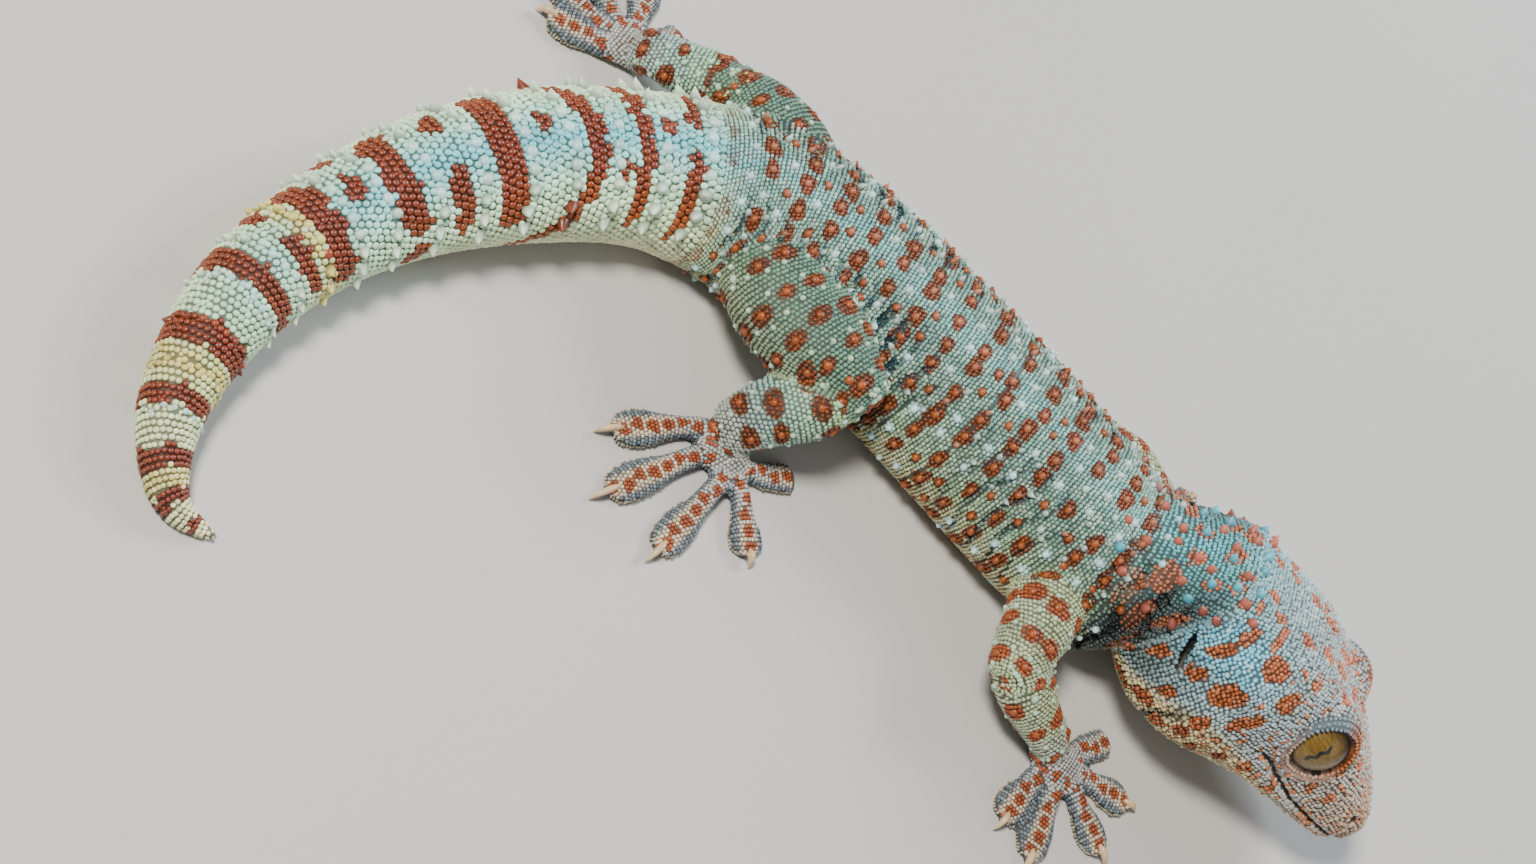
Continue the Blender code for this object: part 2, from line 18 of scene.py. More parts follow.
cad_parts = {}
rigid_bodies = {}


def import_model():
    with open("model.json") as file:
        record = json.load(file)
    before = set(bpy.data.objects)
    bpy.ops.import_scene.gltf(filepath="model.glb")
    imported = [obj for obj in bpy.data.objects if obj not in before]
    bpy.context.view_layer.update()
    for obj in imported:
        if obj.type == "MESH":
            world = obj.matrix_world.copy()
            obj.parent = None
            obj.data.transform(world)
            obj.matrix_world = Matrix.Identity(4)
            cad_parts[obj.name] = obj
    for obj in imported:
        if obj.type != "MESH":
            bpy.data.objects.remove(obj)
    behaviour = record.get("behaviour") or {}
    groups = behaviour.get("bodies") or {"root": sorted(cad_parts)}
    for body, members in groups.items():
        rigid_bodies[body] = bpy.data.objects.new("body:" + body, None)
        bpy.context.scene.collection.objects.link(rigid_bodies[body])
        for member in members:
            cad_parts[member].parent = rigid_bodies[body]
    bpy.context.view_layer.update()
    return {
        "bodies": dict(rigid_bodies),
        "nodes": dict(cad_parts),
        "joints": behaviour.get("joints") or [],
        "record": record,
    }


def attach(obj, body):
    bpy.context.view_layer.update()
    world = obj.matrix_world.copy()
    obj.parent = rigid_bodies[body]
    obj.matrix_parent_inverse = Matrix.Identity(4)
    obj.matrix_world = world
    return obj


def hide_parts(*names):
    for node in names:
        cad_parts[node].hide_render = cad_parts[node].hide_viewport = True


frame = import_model()

MM = 0.001
MIDDLE = Vector((20.4, -13.3, 0.0))

# Spine, from the tip of the tail to the nape: x, y, half width, height, lift of the underside,
# pitch (nose down) and roll (left side up), both in degrees
SPINE = (
    (-51.4, -85.7, 0.9, 1.7, 0.0, 0.0, 0.0),
    (-59.0, -87.2, 2.6, 4.6, 0.0, 0.0, 0.0),
    (-66.2, -81.5, 4.3, 7.6, 0.0, 0.0, 0.0),
    (-70.8, -72.0, 5.7, 10.2, 0.0, 0.0, 0.0),
    (-73.4, -57.0, 7.4, 13.2, 0.0, 0.0, 0.0),
    (-71.9, -40.0, 8.7, 15.4, 0.0, 0.0, 0.0),
    (-67.0, -22.5, 10.6, 18.2, 0.0, 0.0, 0.0),
    (-57.5, -4.5, 12.0, 20.2, 0.0, 0.0, 0.0),
    (-45.0, 11.0, 12.6, 21.0, 0.0, 0.0, 0.0),
    (-30.5, 20.7, 15.2, 22.6, 0.0, 0.0, 0.0),
    (-14.0, 24.9, 17.8, 23.8, 0.0, 0.0, 0.0),
    (12.0, 26.4, 18.6, 24.4, 0.0, 0.0, 0.0),
    (34.0, 26.3, 18.9, 25.0, 0.0, 0.0, 0.0),
    (48.0, 25.8, 18.4, 25.6, 0.0, 0.0, 0.0),
    (56.5, 25.8, 17.2, 26.8, 0.1, -5.0, -3.0),
    (62.0, 26.4, 16.8, 28.6, 0.5, 4.0, -8.0),
)
# Rows of the spine at which the tail and the neck begin
VENT = 8.6
SHOULDER = 13.7
# The body's outline: power of its roundness, and the share of its height by which it sags on the floor
BODY_ROUNDNESS = 0.92
BODY_SINK = 0.07

# Head: its own axis runs from the nape to the snout, with left and up across it
HEAD_TIP = Vector((121.8, 25.0, 12.4))
HEAD_LENGTH = 54.0
HEAD_YAW = -4.0
HEAD_PITCH = 14.0
HEAD_ROLL = -19.0
# Along the head: distance from the nape, half width, crown above the mouth, chin below it
HEAD_STATIONS = (
    (0.0, 16.0, 8.6, 20.0),
    (4.0, 17.0, 9.2, 21.4),
    (8.5, 18.2, 10.2, 22.2),
    (13.5, 18.9, 11.6, 21.2),
    (19.0, 18.4, 12.8, 18.6),
    (24.0, 16.6, 12.7, 15.2),
    (29.0, 14.9, 12.0, 12.2),
    (33.5, 13.4, 11.0, 10.0),
    (38.5, 12.0, 9.6, 8.2),
    (43.5, 10.3, 8.0, 6.8),
    (47.8, 8.5, 6.3, 5.5),
    (51.1, 6.3, 4.7, 4.1),
    (53.2, 3.9, 3.2, 2.6),
    (54.0, 1.8, 1.7, 1.2),
)
# Across the head: share of the half width, share of the crown (or, below the mouth, of the chin)
HEAD_SECTION = (
    (0.36, 0.985),
    (0.66, 0.87),
    (0.88, 0.60),
    (0.985, 0.30),
    (0.98, 0.07),
    (0.965, 0.0),
    (0.955, -0.10),
    (0.99, -0.44),
    (0.80, -0.82),
)
# In the head's own frame: ahead of the nape, left, up from the mouth
MOUTH_CORNER = 26.0
EYE_CENTRE = Vector((29.0, 7.8, 5.6))
EYE_LOOKS = Vector((0.30, 0.94, 0.14)).normalized()
EYE_RADIUS = 6.6
PUPIL_SHIFT = 1.3
LID = 0.9
EYE_OPENING = (4.9, 5.5)
EAR = Vector((3.3, 17.4, -4.4))
EAR_TILT = -40.0
NOSTRIL = Vector((48.6, 6.9, 3.4))

# Limbs: joints from the root out, as x, y, z, half width, half height
LIMBS = {
    "thigh_right": (
        (-23.5, 15.5, 12.5, 9.4, 8.2),
        (-13.5, 10.0, 14.2, 10.6, 8.6),
        (-4.0, 6.8, 16.6, 9.0, 7.4),
        (2.4, 5.2, 18.2, 5.6, 5.0),
    ),
    "shank_right": (
        (2.0, 4.4, 17.0, 5.0, 4.4),
        (-0.4, -0.4, 13.8, 6.2, 5.0),
        (-4.0, -5.0, 9.4, 5.8, 4.4),
        (-6.0, -8.4, 5.4, 4.8, 3.4),
    ),
    "thigh_left": (
        (-22.0, 27.0, 12.5, 9.0, 8.2),
        (-30.5, 32.0, 12.6, 9.6, 8.2),
        (-38.5, 35.0, 11.6, 7.6, 6.8),
        (-43.0, 36.0, 10.8, 5.0, 4.8),
    ),
    "shank_left": (
        (-41.5, 35.8, 10.6, 4.8, 4.4),
        (-46.5, 35.4, 9.2, 5.4, 4.6),
        (-52.5, 34.2, 6.8, 5.0, 4.0),
        (-57.8, 33.2, 4.8, 4.4, 3.2),
    ),
    "upper_arm_right": (
        (51.0, 17.0, 12.0, 7.4, 7.0),
        (52.0, 9.0, 12.6, 6.8, 6.4),
        (53.0, 1.0, 12.6, 6.2, 5.6),
        (53.4, -5.0, 11.8, 4.8, 4.4),
    ),
    "forearm_right": (
        (53.8, -3.4, 11.4, 4.8, 4.4),
        (58.0, -4.6, 9.4, 5.8, 4.8),
        (64.2, -4.8, 6.6, 4.8, 3.8),
        (69.2, -4.8, 4.8, 4.0, 3.0),
    ),
    "upper_arm_left": (
        (51.0, 33.0, 12.0, 7.4, 7.0),
        (49.8, 38.0, 10.6, 6.4, 6.0),
        (47.4, 43.4, 8.8, 5.6, 5.2),
        (45.8, 48.0, 7.6, 4.6, 4.2),
    ),
    "forearm_left": (
        (46.8, 47.0, 7.4, 4.6, 4.2),
        (52.2, 49.8, 6.6, 5.2, 4.4),
        (59.2, 50.9, 5.2, 4.4, 3.6),
        (64.8, 51.0, 4.4, 3.8, 3.0),
    ),
}

# Feet: ankle, middle of the palm, then each toe as (base x, y), (tip x, y), with the first toe last
FEET = {
    "foot_right": ((-4.6, -6.6), (-3.7, -11.6), (
        ((-9.2, -10.8), (-21.8, -25.9)),
        ((-6.6, -14.6), (-15.3, -35.4)),
        ((-1.4, -16.4), (-2.2, -36.1)),
        ((2.5, -14.5), (11.4, -22.4)),
        ((1.2, -9.9), (8.6, -3.2)),
    )),
    "foot_left": ((-56.4, 33.4), (-61.2, 33.0), (
        ((-61.4, 30.0), (-75.6, 24.8)),
        ((-64.2, 31.8), (-81.4, 31.6)),
        ((-64.0, 34.2), (-79.0, 43.4)),
        ((-61.4, 35.8), (-67.2, 50.6)),
        ((-58.8, 35.6), (-55.2, 45.4)),
    )),
    "hand_right": ((68.4, -4.8), (73.9, -5.0), (
        ((71.6, -7.8), (70.6, -22.9)),
        ((75.0, -7.6), (78.7, -25.0)),
        ((77.4, -5.8), (90.8, -11.5)),
        ((77.2, -3.2), (90.6, 1.4)),
        ((74.6, -1.6), (80.0, 8.0)),
    )),
    "hand_left": ((64.0, 51.0), (69.4, 50.6), (
        ((67.2, 53.6), (68.8, 62.6)),
        ((70.2, 54.8), (77.4, 63.0)),
        ((73.6, 53.4), (86.2, 59.4)),
        ((73.8, 51.2), (87.2, 50.6)),
        ((72.2, 48.6), (79.8, 45.4)),
    )),
}
# Along a toe: place (0 in the palm, 1 at the base, 2 at the tip), half width, height, lift
TOE_STATIONS = (
    (0.35, 1.7, 2.6, 0.9),
    (1.00, 1.9, 3.0, 0.6),
    (1.30, 2.2, 2.9, 0.0),
    (1.48, 3.2, 2.6, 0.0),
    (1.64, 3.4, 2.3, 0.0),
    (1.76, 2.4, 2.0, 0.0),
    (1.80, 0.95, 2.2, 0.5),
    (1.90, 0.75, 1.8, 0.5),
    (2.00, 0.25, 0.7, 0.2),
)
FIRST_TOE_STATIONS = (
    (0.35, 1.6, 2.6, 0.9),
    (1.00, 1.9, 2.8, 0.5),
    (1.35, 2.6, 2.6, 0.0),
    (1.75, 2.7, 2.2, 0.0),
    (1.92, 1.9, 1.6, 0.0),
    (2.00, 0.9, 0.9, 0.0),
)
PALM_HALF = 4.6
PALM_HEIGHT = 4.4
PALM_LIFT = 0.3
# Along a palm, with the distance from ankle to middle as one: place, share of half width, of height
PALM_STATIONS = (
    (-0.10, 0.55, 1.25),
    (0.45, 0.80, 1.15),
    (1.00, 1.00, 0.95),
    (1.45, 0.85, 0.70),
    (1.75, 0.40, 0.45),
)

# Between an eye and its lid
GAP = 0.3
# The line of the mouth: distance ahead of the nape, and rise over the level of its corner
MOUTH_PLACES = (25.0, 28.0, 32.0, 38.0, 43.0, 47.0, 52.0, 54.0)
MOUTH_RISES = (-1.9, -1.5, -2.3, -2.8, -2.4, -2.1, -1.9, -1.7)
EAR_PIT = (1.0, 5.0, 4.0)
# Half widths of the ear hole that is painted dark, as shade inside it
EAR_DARK = (0.85, 5.0, 3.8)
# Folds of the neck: place along the body, lean with the arc, width, depth, from arc, to arc
NECK_FOLDS = (
    (222.6, 0.10, 0.55, 0.6, 3.0, 36.0),
    (225.6, 0.12, 0.60, 0.8, 6.0, 36.0),
    (228.8, 0.16, 0.65, 0.9, 8.0, 32.0),
    (232.4, 0.20, 0.60, 0.7, 11.0, 32.0),
    (252.0, 0.06, 0.9, 0.5, 32.0, 50.0),
)
# Spots and knobs of the back: distance from row to row, and from one to the next round the body
SPOT_ROW = 3.4
SPOT_COLUMN = 5.0
SPOT_SALT = 3
LIMB_SPOT = 6.0
LIMB_SPOT_ROUND = LIMB_SPOT * 0.92
TOE_PITCH = 0.72
# The last part of a toe is left to its claw
TOE_COVERED = 0.86
# Red bands of the tail: distance from the tip, width, how far they bend back at the sides, from arc, to arc
TAIL_BANDS = (
    (3.6, 1.0, 0.0, -20.0, 20.0),
    (8.4, 2.0, 0.5, -20.0, 20.0),
    (13.8, 2.9, 0.8, -20.0, 20.0),
    (22.2, 2.7, 1.0, -20.0, 20.0),
    (31.6, 4.2, 1.5, -20.0, 20.0),
    (42.8, 3.6, 1.5, -20.0, 20.0),
    (50.0, 3.0, 0.5, -8.5, 3.0),
    (50.5, 2.4, 0.5, 5.5, 13.0),
    (56.4, 4.6, 1.0, -10.5, 11.0),
    (63.4, 2.8, 0.0, -0.5, 5.5),
    (63.8, 2.4, 0.0, 8.5, 14.0),
    (70.3, 4.6, 0.0, -10.0, 11.0),
    (70.8, 4.2, 0.0, -17.0, -10.8),
    (79.4, 3.4, 0.0, -12.5, 0.0),
    (79.6, 3.2, 0.0, 4.4, 9.6),
    (88.6, 4.8, 0.0, -14.0, 13.0),
    (96.4, 2.8, 0.0, 0.8, 5.6),
    (105.0, 3.4, 6.5, -22.0, 20.0),
    (109.6, 2.8, 0.0, -7.5, -3.6),
    (113.8, 2.8, 2.0, -16.0, 14.0),
    (118.4, 2.4, 0.0, 0.5, 5.0),
    (123.2, 2.9, 1.0, -18.0, -1.0),
    (123.2, 2.4, 0.0, 2.4, 12.0),
)
# Whorls of large scales round the tail: distance from the tip, arcs from its top, and how far they narrow
WHORLS = np.array(
    (20.0, 26.4, 33.4, 40.0, 47.0, 53.6, 60.4, 67.0, 75.4, 84.0, 92.4, 100.6, 108.8, 117.6, 126.0)
)
WHORL_ARCS = np.array((-15.6, -12.0, -8.4, -5.0, -1.8, 1.8, 5.0, 8.4, 12.0, 15.6))
WHORL_NARROWING = ((15.0, 60.0, 125.0), (0.45, 0.8, 1.0))
# Spots of neck and head: distance ahead of the nape, arc from the crown, half length, half width
HEAD_SPOTS = (
    (13.4, 26.1, 2.2, 3.1),
    (12.8, 16.2, 2.2, 2.4),
    (19.2, 18.2, 1.7, 2.2),
    (20.3, 12.0, 1.0, 1.4),
    (19.8, 26.4, 1.3, 3.3),
    (16.8, 33.4, 1.5, 1.8),
    (17.4, 37.4, 1.3, 1.6),
    (9.3, 38.9, 1.8, 1.7),
    (14.5, 40.6, 1.6, 1.6),
    (6.1, 42.0, 2.0, 1.6),
    (-6.0, 17.9, 2.2, 2.0),
    (2.4, 29.8, 1.2, 2.0),
    (0.7, 34.4, 1.1, 1.3),
    (9.3, 34.0, 1.2, 1.5),
    (7.9, 27.5, 1.6, 1.6),
    (5.6, 20.8, 1.1, 2.8),
    (6.1, 15.3, 1.1, 2.4),
    (9.8, 11.0, 0.9, 3.0),
    (1.2, 11.9, 1.1, 1.3),
    (-1.5, 8.5, 1.2, 1.2),
    (-0.8, 5.3, 1.3, 1.2),
    (-5.3, 8.4, 1.4, 1.4),
    (-9.0, 3.2, 1.4, 1.4),
    (-3.8, 1.1, 1.6, 1.4),
    (37.2, 24.6, 1.2, 1.3),
    (30.1, 28.7, 1.3, 1.6),
    (39.7, 17.1, 1.2, 1.2),
    (3.9, 9.5, 1.0, 1.5),
    (5.6, 4.6, 1.3, 1.3),
    (8.4, 7.4, 1.0, 1.1),
    (14.5, 6.2, 1.2, 1.4),
    (19.5, 4.0, 1.5, 1.3),
    (24.5, 2.6, 2.0, 1.2),
    (28.0, 6.4, 1.5, 1.3),
    (33.0, 8.6, 1.4, 1.2),
    (36.5, 3.0, 1.6, 1.2),
    (31.0, 1.6, 1.4, 1.1),
    (42.0, 6.0, 1.0, 1.3),
    (44.0, 13.5, 1.0, 1.2),
    (34.5, 19.5, 0.9, 1.3),
    (25.5, 33.0, 1.2, 1.5),
    (22.0, 38.0, 1.3, 1.4),
    (-11.5, 9.0, 1.3, 3.0),
    (-11.0, 17.0, 1.2, 3.4),
    (-8.0, 25.0, 1.2, 3.0),
    (-14.0, 13.0, 1.2, 3.4),
    (-5.0, 30.0, 1.5, 1.8),
)
# Tall cones of the nape: distance ahead of the nape, arc from the middle
NAPE_HORNS = (
    (1.2, 11.9), (-1.5, 8.5), (-0.8, 5.3), (-5.3, 8.4), (-9.0, 3.2), (-3.8, 1.6), (-7.0, 12.0), (-12.0, 1.6),
    (-12.5, 7.0), (-3.4, 14.6), (2.4, 8.0), (4.4, 13.4), (-9.6, 8.6), (-6.4, 5.2), (-15.5, 4.4), (1.6, 2.2),
    (-18.5, 8.2), (-11.0, 15.4), (-16.0, 11.4), (0.2, 17.4), (-5.2, 18.4), (-20.5, 3.0),
)
# Cones nearer the middle of the nape than this lie in the light
NAPE_HIGH = 14.2
# Rings of scales round an eye: reach as a share of its opening, how many, half width, height
LID_RINGS = ((1.12, 46, 0.34, 0.50), (1.20, 48, 0.36, 0.34), (1.29, 50, 0.40, 0.36))
# Along a claw: place on the toe (1 at its base, 2 at its tip), half width, underside, top
CLAW_STATIONS = (
    (1.70, 0.26, 1.4, 2.1),
    (1.75, 0.52, 1.3, 2.6),
    (1.82, 0.56, 1.2, 2.7),
    (1.88, 0.46, 1.0, 2.3),
    (1.94, 0.30, 0.7, 1.6),
    (1.985, 0.07, 0.3, 0.6),
)
# The camera: degrees over the floor, round the model and about its own axis, millimetres of lens and reach
CAMERA_ELEVATION = 50.0
CAMERA_AZIMUTH = 15.0
CAMERA_ROLL = 58.5
CAMERA_LENS = 60.0
CAMERA_DISTANCE = 418.0
# Lamps: place and size in metres, watts, and colour in linear light
LAMPS = (
    ("key", (-0.50, -0.30, 0.90), 0.22, 17.5, (1.0, 0.93, 0.83)),
    ("fill", (0.9, -0.4, 0.5), 0.8, 2.0, (1.0, 0.96, 0.92)),
    ("back", (0.35, 0.85, 0.6), 0.4, 11.0, (0.86, 0.95, 1.0)),
)

# Points round the trunk, and round a limb, palm or toe
COLUMNS = 96
LIMB_COLUMNS = 48
# Rings of the trunk: along the spine, from it to the nape, and along the head
SPINE_RINGS = 520
NECK_RINGS = 12
HEAD_RINGS = 130
VOXEL = 0.65
COAT_DEPTH = 0.35
# Bare skin farther than this from every scale gets one of its own
FILL_GAP = 0.62
CELL = 1.5
SALT_STEP = 5
SEED = 11
random = np.random.default_rng(SEED)

# Scales, each with half widths along and across the body, and height
BACK_KNOB = (0.72, 0.80, 0.95)
BACK_POINT = (0.66, 0.70, 1.35)
NAPE_HORN = (1.15, 1.1, 1.5)
BACK_SCALE = (0.35, 0.45, 0.33)
HEAD_SCALE = (0.39, 0.40, 0.40)
HEAD_PEARL = (0.56, 0.56, 0.62)
JAW_PEARL = (0.58, 0.58, 0.66)
LIP_SCALE = (0.68, 0.60, 0.32)
LIMB_KNOB = (0.80, 0.80, 0.62)
LIMB_BEAD = (0.58, 0.58, 0.60)
LIMB_SCALE = (0.37, 0.42, 0.32)
FRINGE_SCALE = (0.22, 0.55, 0.34)
TOE_SCALE = (0.36, 0.37, 0.28)
SMALL_SCALE = (0.37, 0.37, 0.30)
# The same for those of the tail, after their distance from its tip
TAIL_SIZES = ((0.0, 0.37, 0.40, 0.30), (30.0, 0.53, 0.53, 0.42), (120.0, 0.70, 0.66, 0.5))
KNOB_SIZES = ((15.0, 0.5, 0.5, 0.4), (60.0, 1.0, 1.0, 0.75), (125.0, 1.25, 1.25, 0.95))
TOOTH_SIZES = ((15.0, 0.6, 0.5, 0.6), (60.0, 1.2, 1.1, 1.7), (125.0, 1.5, 1.3, 2.2))
# Steps between the tail's scales, along it and round it, by distance from its tip
TAIL_PITCH = ((0.0, 30.0, 120.0), (0.75, 1.05, 1.42))
TAIL_ACROSS = ((0.0, 30.0, 120.0), (0.8, 1.05, 1.35))
# Small points of the back: distance from row to row, arcs from its middle, and lead over their row
POINT_STEP = 4.3
POINT_ARCS = (8.4, 12.6, 16.4, -8.4, -12.6, -16.4)
POINT_LEADS = (0.0, 2.1, 0.6, 0.0, 2.1, 0.6)

# Colours by arc from the middle of the back, or for the crown by distance from the nape, in millimetres
TAIL_TONES = ((0.0, "#70C2CE"), (4.0, "#98D2CC"), (8.0, "#C0E6CA"), (14.0, "#D4ECC0"), (24.0, "#E6E4BC"))
TAIL_TIP_TONES = ((0.0, "#DEDAAC"), (30.0, "#CCE4B8"), (60.0, "#BEE0BC"))
TAIL_YELLOW = ((53.0, 3.2), (27.0, 4.0), (11.0, 2.0))
BAND_TONES = ((0.0, "#723020"), (8.0, "#783414"), (14.0, "#8E4210"), (20.0, "#9A5016"))
BACK_TONES = (
    (0.0, "#70B0B4"), (5.0, "#68948E"), (14.0, "#60867A"),
    (22.0, "#7E9876"), (30.0, "#BCB080"), (36.0, "#D0C090"),
)
RUST_TONES = ((0.0, "#8C4830"), (4.0, "#78380E"), (12.0, "#703204"), (30.0, "#844206"))
NECK_TONES = (
    (0.0, "#64B4BE"), (7.0, "#5E9AA0"), (14.0, "#4C686C"),
    (26.0, "#56686A"), (36.0, "#80887A"), (44.0, "#B8B088"),
)
CROWN_TONES = ((0.0, "#6CAAB6"), (8.0, "#82A6B0"), (18.0, "#8EA3AA"), (34.0, "#999C9A"), (55.0, "#A88C70"))
HEAD_SPOT_TONES = ((0.0, "#B06854"), (14.0, "#A45C3A"), (22.0, "#964C1A"), (40.0, "#7A3608"))
HIND_TONES = ((0.0, "#5E8474"), (8.0, "#668872"), (15.0, "#88967A"))
FORE_TONES = ((0.0, "#A8B48A"), (7.0, "#A2B094"), (14.0, "#BEBA98"))
SHANK_TONES = ((0.0, "#B9C77C"), (6.0, "#9EC2A0"), (14.0, "#8FB9B4"))
IRIS_TONES = ((0.3, "#2A1F04"), (0.52, "#6E540C"), (0.75, "#A8821C"))
TOE_TONES = ((1.4, "#868C90"), (2.2, "#68747C"), (3.4, "#5C6A74"), (4.4, "#A8A292"))


def along(rows, place):
    """The values at a place along rows of numbers, on a smooth curve through every row."""
    last = len(rows) - 1
    first = min(max(int(place), 0), last - 1)
    part = place - first
    before, start, end, after = (np.array(rows[min(max(first + k, 0), last)], float) for k in (-1, 0, 1, 2))
    return 0.5 * (
        2.0 * start
        + (end - before) * part
        + (2.0 * before - 5.0 * start + 4.0 * end - after) * part ** 2
        + (3.0 * start - before - 3.0 * end + after) * part ** 3
    )


def turned(yaw, pitch, roll):
    """A rotation from an axis that points along +X: turned left, nose down, then left side up."""
    spin = Matrix.Rotation(math.radians(yaw), 3, "Z")
    spin = spin @ Matrix.Rotation(math.radians(pitch), 3, "Y") @ Matrix.Rotation(math.radians(roll), 3, "X")
    return np.array(spin)


HEAD_FRAME = turned(HEAD_YAW, HEAD_PITCH, HEAD_ROLL)


def eased(value, power):
    """A power of the size of each value, with its sign kept."""
    return np.copysign(np.abs(value) ** power, value)


def head_point(ahead, left, up):
    """Points of the head's own frame, in the animal's."""
    local = np.stack(np.broadcast_arrays(ahead - HEAD_LENGTH, left, up), axis=-1)
    return np.array(HEAD_TIP) + local @ HEAD_FRAME.T


def in_head(points):
    """Points of the animal's frame, in the head's own: ahead from the nape, left, up from the mouth."""
    local = (points - np.array(HEAD_TIP)) @ HEAD_FRAME
    local[..., 0] += HEAD_LENGTH
    return local


def evenly(ring, count):
    """A closed ring of points taken again at equal steps round it, from the same first point."""
    closed = np.vstack((ring, ring[:1]))
    reach = np.concatenate(([0.0], np.cumsum(np.linalg.norm(np.diff(closed, axis=0), axis=1))))
    steps = np.arange(count) / count * reach[-1]
    return np.stack([np.interp(steps, reach, closed[:, k]) for k in range(3)], axis=1)


def body_ring(place):
    """The outline across the body at a place along the spine, from the middle of the back leftwards."""
    x, y, half, height, lift, pitch, roll = along(SPINE, place)
    ahead = along(SPINE, place + 0.02) - along(SPINE, place - 0.02)
    frame = turned(math.degrees(math.atan2(ahead[1], ahead[0])), pitch, roll)
    centre = np.array((x, y, lift + height * (0.5 - BODY_SINK)))
    angle = math.pi / 2.0 - 2.0 * math.pi * np.arange(COLUMNS) / COLUMNS
    left = half * eased(np.cos(angle), BODY_ROUNDNESS)
    up = height * (0.5 + BODY_SINK * 0.5) * eased(np.sin(angle), BODY_ROUNDNESS)
    ring = centre + np.stack((np.zeros(COLUMNS), left, up), axis=1) @ frame.T
    ring[:, 2] = np.maximum(ring[:, 2], 0.0)
    return evenly(ring, COLUMNS)


def head_ring(place):
    """The outline across the head at a place along its stations, from the middle of the crown leftwards."""
    ahead, half, crown, chin = along(HEAD_STATIONS, place)
    side = [(x * half, y * (crown if y > 0.0 else chin)) for x, y in HEAD_SECTION]
    outline = [(0.0, crown)] + side + [(0.0, -chin)] + [(-x, y) for x, y in reversed(side)]
    count = len(outline)
    wrapped = [outline[k % count] for k in range(-2, count + 3)]
    fine = np.array([along(wrapped, 2.0 + count * k / (COLUMNS * 2.0)) for k in range(COLUMNS * 2)])
    return evenly(head_point(ahead, fine[:, 0], fine[:, 1]), COLUMNS)


class Tube:
    """Rings along a part of the body, with the distance along it and the arc from its top line."""

    def __init__(self, name, rings):
        self.name = name
        self.rings = np.array(rings)
        steps = np.linalg.norm(np.diff(self.rings, axis=0), axis=2).mean(axis=1)
        self.u = np.concatenate(([0.0], np.cumsum(steps)))
        sides = np.linalg.norm(np.diff(self.rings, axis=1, append=self.rings[:, :1]), axis=2)
        self.girth = sides.sum(axis=1)
        self.columns = self.rings.shape[1]

    def ring_at(self, u):
        """The ring at a distance along the tube, and its girth."""
        row = float(np.interp(u, self.u, np.arange(len(self.u))))
        low = min(int(row), len(self.u) - 2)
        part = row - low
        ring = self.rings[low] * (1.0 - part) + self.rings[low + 1] * part
        return ring, self.girth[low] * (1.0 - part) + self.girth[low + 1] * part

    def points_at(self, u, arcs):
        """Points on the ring at a distance u, at arcs from the top line, left positive."""
        ring, girth = self.ring_at(u)
        place = (arcs / girth * self.columns) % self.columns
        low = place.astype(int) % self.columns
        part = (place - np.floor(place))[:, None]
        return ring[low] * (1.0 - part) + ring[(low + 1) % self.columns] * part


def trunk_tube():
    """Tail, torso, neck and head in one run of rings."""
    last = len(SPINE) - 1
    rings = [body_ring(place) for place in np.linspace(0.03, last, SPINE_RINGS)]
    end = rings[-1]
    nape = head_ring(0.0)
    for share in np.linspace(0.0, 1.0, NECK_RINGS + 2)[1:-1]:
        rings.append(end * (1.0 - share) + nape * share)
    rings += [head_ring(place) for place in np.linspace(0.0, len(HEAD_STATIONS) - 1.0, HEAD_RINGS)]
    return Tube("trunk", rings)


def oval_ring(centre, ahead, half, tall, columns):
    """An upright oval across the way ahead, from its top leftwards."""
    side = np.cross((0.0, 0.0, 1.0), ahead)
    side /= np.linalg.norm(side)
    top = np.cross(ahead, side)
    angle = math.pi / 2.0 - 2.0 * math.pi * np.arange(columns) / columns
    return centre + side * half * np.cos(angle)[:, None] + top * tall * np.sin(angle)[:, None]


def limb_tube(name, joints):
    """Oval rings along a limb, with a dome of smaller rings at its far end."""
    last = len(joints) - 1
    rows = []
    for place in np.linspace(0.0, last, 30 * last + 1):
        x, y, z, half, tall = along(joints, place)
        ahead = (along(joints, place + 0.05) - along(joints, place - 0.05))[:3]
        rows.append((np.array((x, y, z)), ahead / np.linalg.norm(ahead), half, tall))
    centre, ahead, half, tall = rows[-1]
    for share in np.linspace(0.1, 0.96, 10):
        less = math.sqrt(1 - share ** 2)
        rows.append((centre + ahead * tall * share, ahead, half * less, tall * less))
    return Tube(name, [oval_ring(*row, LIMB_COLUMNS) for row in rows])


def toe_section(side, half, height, low, centre):
    """The outline across a toe: flat below, round above, from its top leftwards."""
    angle = math.pi / 2.0 - 2.0 * math.pi * np.arange(LIMB_COLUMNS) / LIMB_COLUMNS
    rise = np.sin(angle)
    x = half * eased(np.cos(angle), 0.8)
    z = low + height * np.where(rise > 0.0, 0.35 + 0.65 * eased(rise, 0.9), 0.35 + 0.35 * eased(rise, 0.5))
    return evenly(centre + side * x[:, None] + np.array((0.0, 0.0, 1.0)) * z[:, None], LIMB_COLUMNS)


def toe_tube(name, palm, base, tip, stations):
    """Rings along a toe, on a curve from the palm through its base to its tip."""
    path = ((*palm, 0.0), (*base, 0.0), (*tip, 0.0))
    rings = []
    for place in np.linspace(0.0, len(stations) - 1.0, 12 * (len(stations) - 1) + 1):
        reach, half, height, lift = along(stations, place)
        centre = along(path, reach)
        ahead = along(path, reach + 0.05) - along(path, reach - 0.05)
        ahead /= np.linalg.norm(ahead)
        side = np.array((-ahead[1], ahead[0], 0.0))
        rings.append(toe_section(side, max(half, 0.2), height, lift, centre * (1.0, 1.0, 0.0)))
    return Tube(name, rings)


